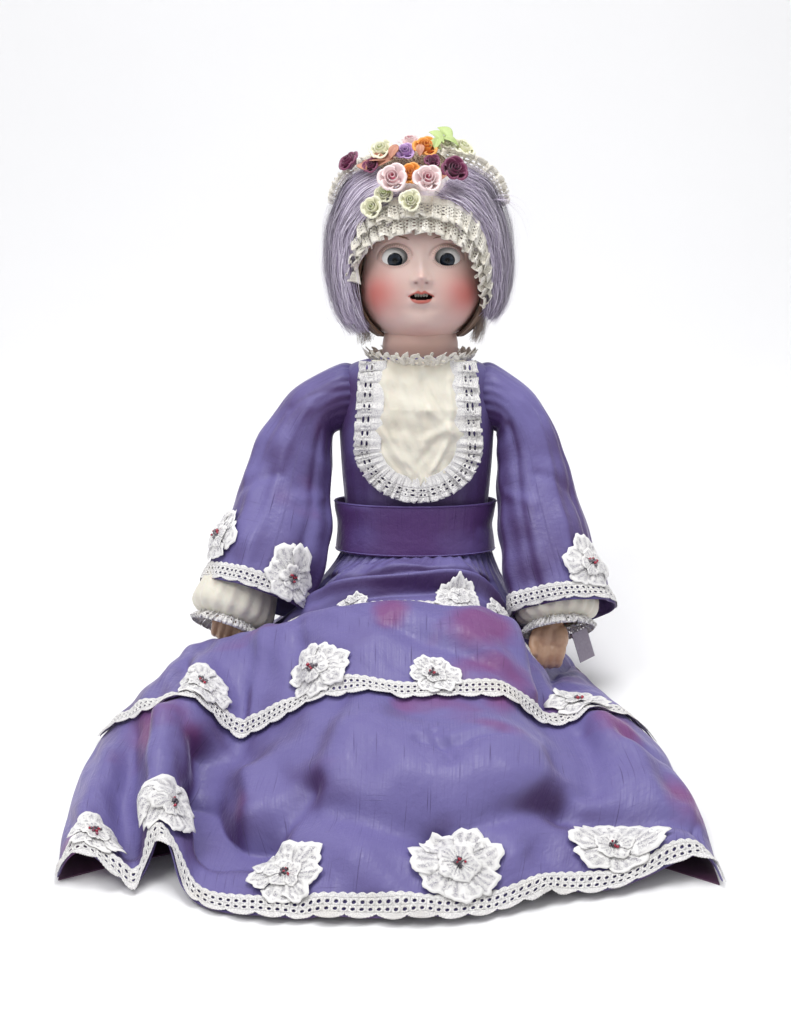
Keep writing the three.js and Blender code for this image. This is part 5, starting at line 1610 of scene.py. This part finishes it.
ROSES = [
    ("rose_plum_right", "plum", -57, -6, 385, 9.5), ("rose_cream_right", "cream", -37, -54, 345, 8.5),
    ("rose_pink_right", "pink", -20, -57, 368, 11.5), ("rose_pink_left", "pink", 8, -60, 367.5, 11),
    ("rose_cream_low", "cream", -6, -65, 350, 8.5), ("rose_orange_top", "orange", 7, -28, 395, 10),
    ("rose_lilac", "lilac", -10, -29, 391, 8), ("rose_plum_left", "plum", 30, -46, 376, 10.5),
    ("rose_cream_left", "cream", 38, -8, 396, 10), ("orange_bud", "orange", -6, -49, 372, 9),
    ("cream_top_left", "cream", -30, -26, 393, 9.5), ("cream_leaf_rose", "cream", -27, -52, 356, 7.5),
    ("pink_top", "pink", -6, -2, 402, 9), ("cream_top_right", "cream", 24, -10, 400, 8),
    ("plum_bud", "plum", 12, -40, 383, 6), ("plum_tuft", "plum", -38, -30, 380, 7),
]


def frame_facing(way):
    z = unit(way)
    x = unit(np.cross([0, 0, 1], z)) if abs(z[2]) < 0.95 else np.array([1.0, 0, 0])
    return x, np.cross(z, x), z


def rose_parts(radius, seed):
    """A rolled bud and its folded petals, with how light each point is painted: painted shade deep in the bud
    and at the petals' roots, painted highlight towards the rims and on the bud's top edge.
    """
    rng = np.random.default_rng(seed)
    parts = []
    turns_round = 2.6
    t, h = np.meshgrid(np.linspace(0, 1, 64), np.linspace(0, 1, 6), indexing="ij")
    a = t * turns_round * 2 * math.pi + rng.uniform(0, 6)
    r = radius * (0.06 + 0.5 * t) * (0.8 + 0.25 * h)
    z = radius * (-0.35 + h * 0.95 - 0.25 * t * h)
    shade = np.clip(0.15 + 0.55 * t + 0.35 * (h > 0.8), 0, 1)
    parts.append((np.stack([r * np.cos(a), r * np.sin(a), z], -1).reshape(-1, 3), net_faces(64, 6),
                  shade.ravel()))
    for k in range(6):
        turn = k * 2 * math.pi / 6 + rng.uniform(-0.25, 0.25)
        u, v = np.meshgrid(np.linspace(-1, 1, 11), np.linspace(0, 1, 9), indexing="ij")
        wide = 0.95 * (1 - 0.30 * v**2 * np.abs(u))
        angle = turn + wide * u
        curl = np.clip(v - 0.7, 0, 1) * 0.9
        reach = radius * (0.34 + 0.52 * np.sin(v * 1.5) + 0.12 * (k % 2) + curl * 0.2 - 0.16 * u**2)
        lift = radius * (-0.45 + 0.95 * v - 1.5 * curl + 0.06 * np.sin(u * 4 + k))
        shade = np.clip(0.45 + 0.5 * v, 0, 1)
        parts.append((np.stack([reach * np.cos(angle), reach * np.sin(angle), lift], -1).reshape(-1, 3),
                      net_faces(11, 9), shade.ravel()))
    return parts


for seed, (name, tone_name, x, y, z, radius) in enumerate(ROSES):
    centre = np.array([x, y, z], float)
    radius = radius * 1.12
    way = unit((centre - HEAD_MID) * [0.8, 1.0, 0.55] + [0, -22, 0])
    ax, ay, az = frame_facing(way)
    points, faces, weave, count = [], [], [], 0
    for p, f, shade in rose_parts(radius, seed + 200):
        points.append(centre + p[:, :1] * ax + p[:, 1:2] * ay + p[:, 2:3] * az)
        faces.append(f + count)
        weave.append(np.stack([shade * 1000, p[:, 2] * 10], -1))
        count += len(p)
    rose = add_mesh("ribbon_" + name, leaning(np.concatenate(points)), np.concatenate(faces),
                    ribbon[tone_name],
                    np.concatenate(weave))
    thick = rose.modifiers.new("ribbon", "SOLIDIFY")
    thick.thickness = 0.0004
    soft = rose.modifiers.new("soft", "SUBSURF")
    soft.levels = 1
    soft.render_levels = 1
    hang(rose, "head", "ribbon_" + tone_name, *([name] if name.startswith("rose_") else []))

# Flower base: an oval of stiff brown net that the flowers are sewn to, wired to stand in front of the crown.
net = new_finish("stiff_net", Roughness=0.9)
net_cells = step(net, "TexVoronoi", {"Vector": where(net, weave=True), "Scale": 520.0},
                 feature="DISTANCE_TO_EDGE").outputs["Distance"]
net_holes = between(net, net_cells, 0.05, 0.16)
colour(net, dye(net, net_holes, (0.62, 0.52, 0.38), (0.20, 0.13, 0.10)))
relief(net, net_holes, 0.0005, 0.6)


def flower_base(across, down):
    """across from the doll's right to its left, down from its top edge."""
    across, down = np.asarray(across, float), np.asarray(down, float)
    round_off = np.sqrt(np.clip(1 - ((down - 0.5) / 0.54) ** 2, 0.02, 1))
    side = (across * 2 - 1) * round_off
    x = -5 + 44 * side
    z = 396 - 46 * down - 10 * side**2
    y = -14 - 34 * down + 16 * side**2 + 1.2 * np.sin(side * 9 + down * 4)
    return leaning(np.stack([x, y, z], -1))


base, cut = add_cloth("stiff_net_base", flower_base, (0, 1, 0, 1), net, (60, 30), 1.0)
hang(base, "head", "bonnet")

green = new_finish("leaf_green", Roughness=0.5)
colour(green, dye(green, cloudy(green, where(green), 120, 3), (0.34, 0.46, 0.13), (0.60, 0.70, 0.34)))
relief(green, cloudy(green, where(green), 400, 2), 0.0004, 0.5)
dusky = new_finish("leaf_dusky", Roughness=0.5)
colour(dusky, dye(dusky, cloudy(dusky, where(dusky), 140, 3), (0.40, 0.13, 0.11), (0.66, 0.36, 0.22)))
relief(dusky, cloudy(dusky, where(dusky), 400, 2), 0.0004, 0.5)
LEAVES = {
    "green": (green, [(22, -18, 398, 0.9, 17), (28, -12, 400, 1.25, 20), (20, -24, 392, 0.4, 15),
                      (34, -14, 396, 0.5, 15), (-31, -46, 360, 3.6, 13), (14, -30, 392, 1.9, 13)]),
    "dusky": (dusky, [(-40, -22, 384, 3.3, 18), (-34, -30, 378, 2.7, 17), (-46, -16, 382, 3.9, 17),
                      (-22, -36, 384, 1.9, 14), (-28, -30, 380, 2.3, 15), (22, -44, 374, 5.2, 13),
                      (-18, -30, 386, 1.4, 13), (2, -36, 386, 1.6, 12)]),
}
for name, (finish, leaves) in LEAVES.items():
    points, faces, count = [], [], 0
    for x, y, z, lean_turn, size in leaves:
        centre = np.array([x, y, z], float)
        ax, ay, az = frame_facing(unit((centre - HEAD_MID) * [0.7, 1, 0.7] + [0, -25, 0]))
        u, v = np.meshgrid(np.linspace(0, 1, 12), np.linspace(-1, 1, 7), indexing="ij")
        wide = size * 0.30 * np.sin(u * math.pi) ** 0.8
        lx, ly = u * size, v * wide
        lz = np.abs(v) * wide * 0.55 + 2.5 * np.sin(u * 2.2) + 1.2
        c, s = math.cos(lean_turn), math.sin(lean_turn)
        px, py = lx * c - ly * s, lx * s + ly * c
        made_leaf = centre + px[..., None] * ax * -1 + py[..., None] * ay + lz[..., None] * az
        points.append(made_leaf.reshape(-1, 3))
        faces.append(net_faces(12, 7) + count)
        count += 84
    leaf = add_mesh("ribbon_leaves_" + name, leaning(np.concatenate(points)), np.concatenate(faces), finish)
    thick = leaf.modifiers.new("ribbon", "SOLIDIFY")
    thick.thickness = 0.0004
    hang(leaf, "head", "ribbon_cream")

# Hands. Moulded composition under flesh enamel, loosely closed, each on a round peg in the forearm.
FISTS = {
    "left": {"wrist": (115, -54, 22), "hand": (109, -71, -18)},
    "right": {"wrist": (-148, -42, 32), "hand": (-161, -56, -8)},
}


HAND_BELOW = {"left": 13.0, "right": 4.0}


def sausage(start, end, r0, r1, sides=14, rings=9):
    """A closed, round-ended piece between two points."""
    start, end = np.array(start, float), np.array(end, float)
    x, y, z = frame_facing(end - start)
    size = np.linalg.norm(end - start)
    t = np.linspace(0, math.pi, rings)
    rows = []
    for a in t:
        f = (1 - math.cos(a)) / 2
        r = (r0 + (r1 - r0) * f) * math.sin(min(max(a, 0.06), math.pi - 0.06)) ** 0.55
        centre = start + z * (size * f + (r1 * max(f - 0.5, 0) - r0 * max(0.5 - f, 0)) * 0.9)
        ring = np.arange(sides) * 2 * math.pi / sides
        rows.append(centre + np.outer(np.cos(ring) * r, x) + np.outer(np.sin(ring) * r, y))
    return np.concatenate(rows), net_faces(rings, sides, True)


for side, fist in FISTS.items():
    wrist, tip = np.array(fist["wrist"], float), np.array(fist["hand"], float)
    down = unit(tip - wrist)
    front = unit(np.array([0, -1, 0]) - down * np.dot([0, -1, 0], down))
    inner = -np.array([SIDES[side], 0, 0]) + down * np.dot([SIDES[side], 0, 0], down)
    inner = unit(inner)

    def at(d, i, f, wrist=wrist + down * HAND_BELOW[side], down=down, inner=inner, front=front):
        return wrist + down * d + inner * i + front * f
    pieces = [sausage(at(-2, 0, 0), at(14, 0, 0), 8.5, 9.5),
              sausage(at(12, -5, 0), at(25, -6.5, 1), 9.5, 8.5),
              sausage(at(12, 4, 0), at(25, 6, 1), 9.5, 8.5)]
    for k in range(4):
        i = 9.8 - k * 6.4
        knuckle = at(27 - abs(k - 1.2) * 0.9, i, 3.0)
        middle_joint = at(40 - abs(k - 1.2) * 1.6, i * 0.93, 2.0 - 0.8 * k)
        end_joint = at(42 - abs(k - 1.2) * 1.4, i * 0.86, -7.0)
        finger_tip = at(32, i * 0.8, -10.0)
        pieces += [sausage(knuckle, middle_joint, 4.7, 4.1), sausage(middle_joint, end_joint, 4.1, 3.7),
                   sausage(end_joint, finger_tip, 3.7, 3.2)]
    pieces += [sausage(at(13, 10, 3), at(25, 15, 5), 5.6, 4.6),
               sausage(at(25, 15, 5), at(36, 12.5, 6.5), 4.5, 3.6)]
    points, faces, count = [], [], 0
    for p, f in pieces:
        closed = [list(q) for q in f + count]
        closed.append(list(range(count + 13, count - 1, -1)))
        closed.append(list(range(count + len(p) - 14, count + len(p))))
        points.append(p)
        faces += closed
        count += len(p)
    made = add_mesh("moulded_hand_" + side, leaning(np.concatenate(points)), faces, enamel)
    blend = made.modifiers.new("moulded", "REMESH")
    blend.mode = "VOXEL"
    blend.voxel_size = 0.0009
    blend.use_smooth_shade = True
    ease = made.modifiers.new("eased", "SMOOTH")
    ease.factor = 0.5
    ease.iterations = 5
    hang(made, "hand_" + side, "composition", "hand_" + side)

# Tag: a small plain card tied to the left wrist.
card = new_finish("tag_card", Roughness=0.8)
fibre_of = cloudy(card, where(card), 500, 4)
colour(card, dye(card, fibre_of, (0.44, 0.40, 0.46), (0.30, 0.26, 0.32)))
relief(card, fibre_of, 0.0002)
give(["card_tag"], card)

# Studio: a pale seamless floor and wall, a big soft light above to the left and a weaker one at the right.
paper = new_finish("studio_paper", Roughness=0.9)
colour(paper, dye(paper, cloudy(paper, where(paper), 2, 2), (0.93, 0.93, 0.94), (0.90, 0.90, 0.915)))
sweep_y = np.concatenate([np.linspace(-2600, 900, 8), 900 + 600 * np.sin(np.linspace(0.15, math.pi / 2, 8)),
                          [1500]])
sweep_z = np.concatenate([np.zeros(8), 600 - 600 * np.cos(np.linspace(0.15, math.pi / 2, 8)), [3600]])
sweep = np.stack([np.stack([np.full(17, x), sweep_y, sweep_z], -1) for x in np.linspace(-3200, 3200, 9)], 1)
floor = add_mesh("studio_sweep", sweep, net_faces(17, 9), paper)
floor.data.flip_normals()

world = bpy.data.worlds.new("studio_air")
world.use_nodes = True
world.node_tree.nodes["Background"].inputs["Color"].default_value = (1.0, 1.0, 1.0, 1)
world.node_tree.nodes["Background"].inputs["Strength"].default_value = 0.46
bpy.context.scene.world = world

for name, place, size, power in (("key", (-1.0, -0.9, 1.9), 1.1, 17), ("fill", (1.5, -1.2, 1.1), 1.6, 3),
                                 ("top", (0.1, -0.05, 2.1), 1.2, 25)):
    lamp = bpy.data.lights.new(name, "AREA")
    lamp.shape = "DISK"
    lamp.size = size
    lamp.energy = power
    light = bpy.data.objects.new(name, lamp)
    light.location = place
    light.rotation_euler = (Vector((0, -0.15, 0.15)) - Vector(place)).to_track_quat("-Z", "Y").to_euler()
    bpy.context.scene.collection.objects.link(light)

lens = bpy.data.cameras.new("camera")
lens.lens = 62
lens.sensor_width = 36
camera = bpy.data.objects.new("camera", lens)
camera.location = (-0.018, -1.392, 0.6717)
camera.rotation_euler = (math.radians(90 - 21), 0, 0)
bpy.context.scene.collection.objects.link(camera)
bpy.context.scene.camera = camera
bpy.context.scene.view_settings.view_transform = "Standard"
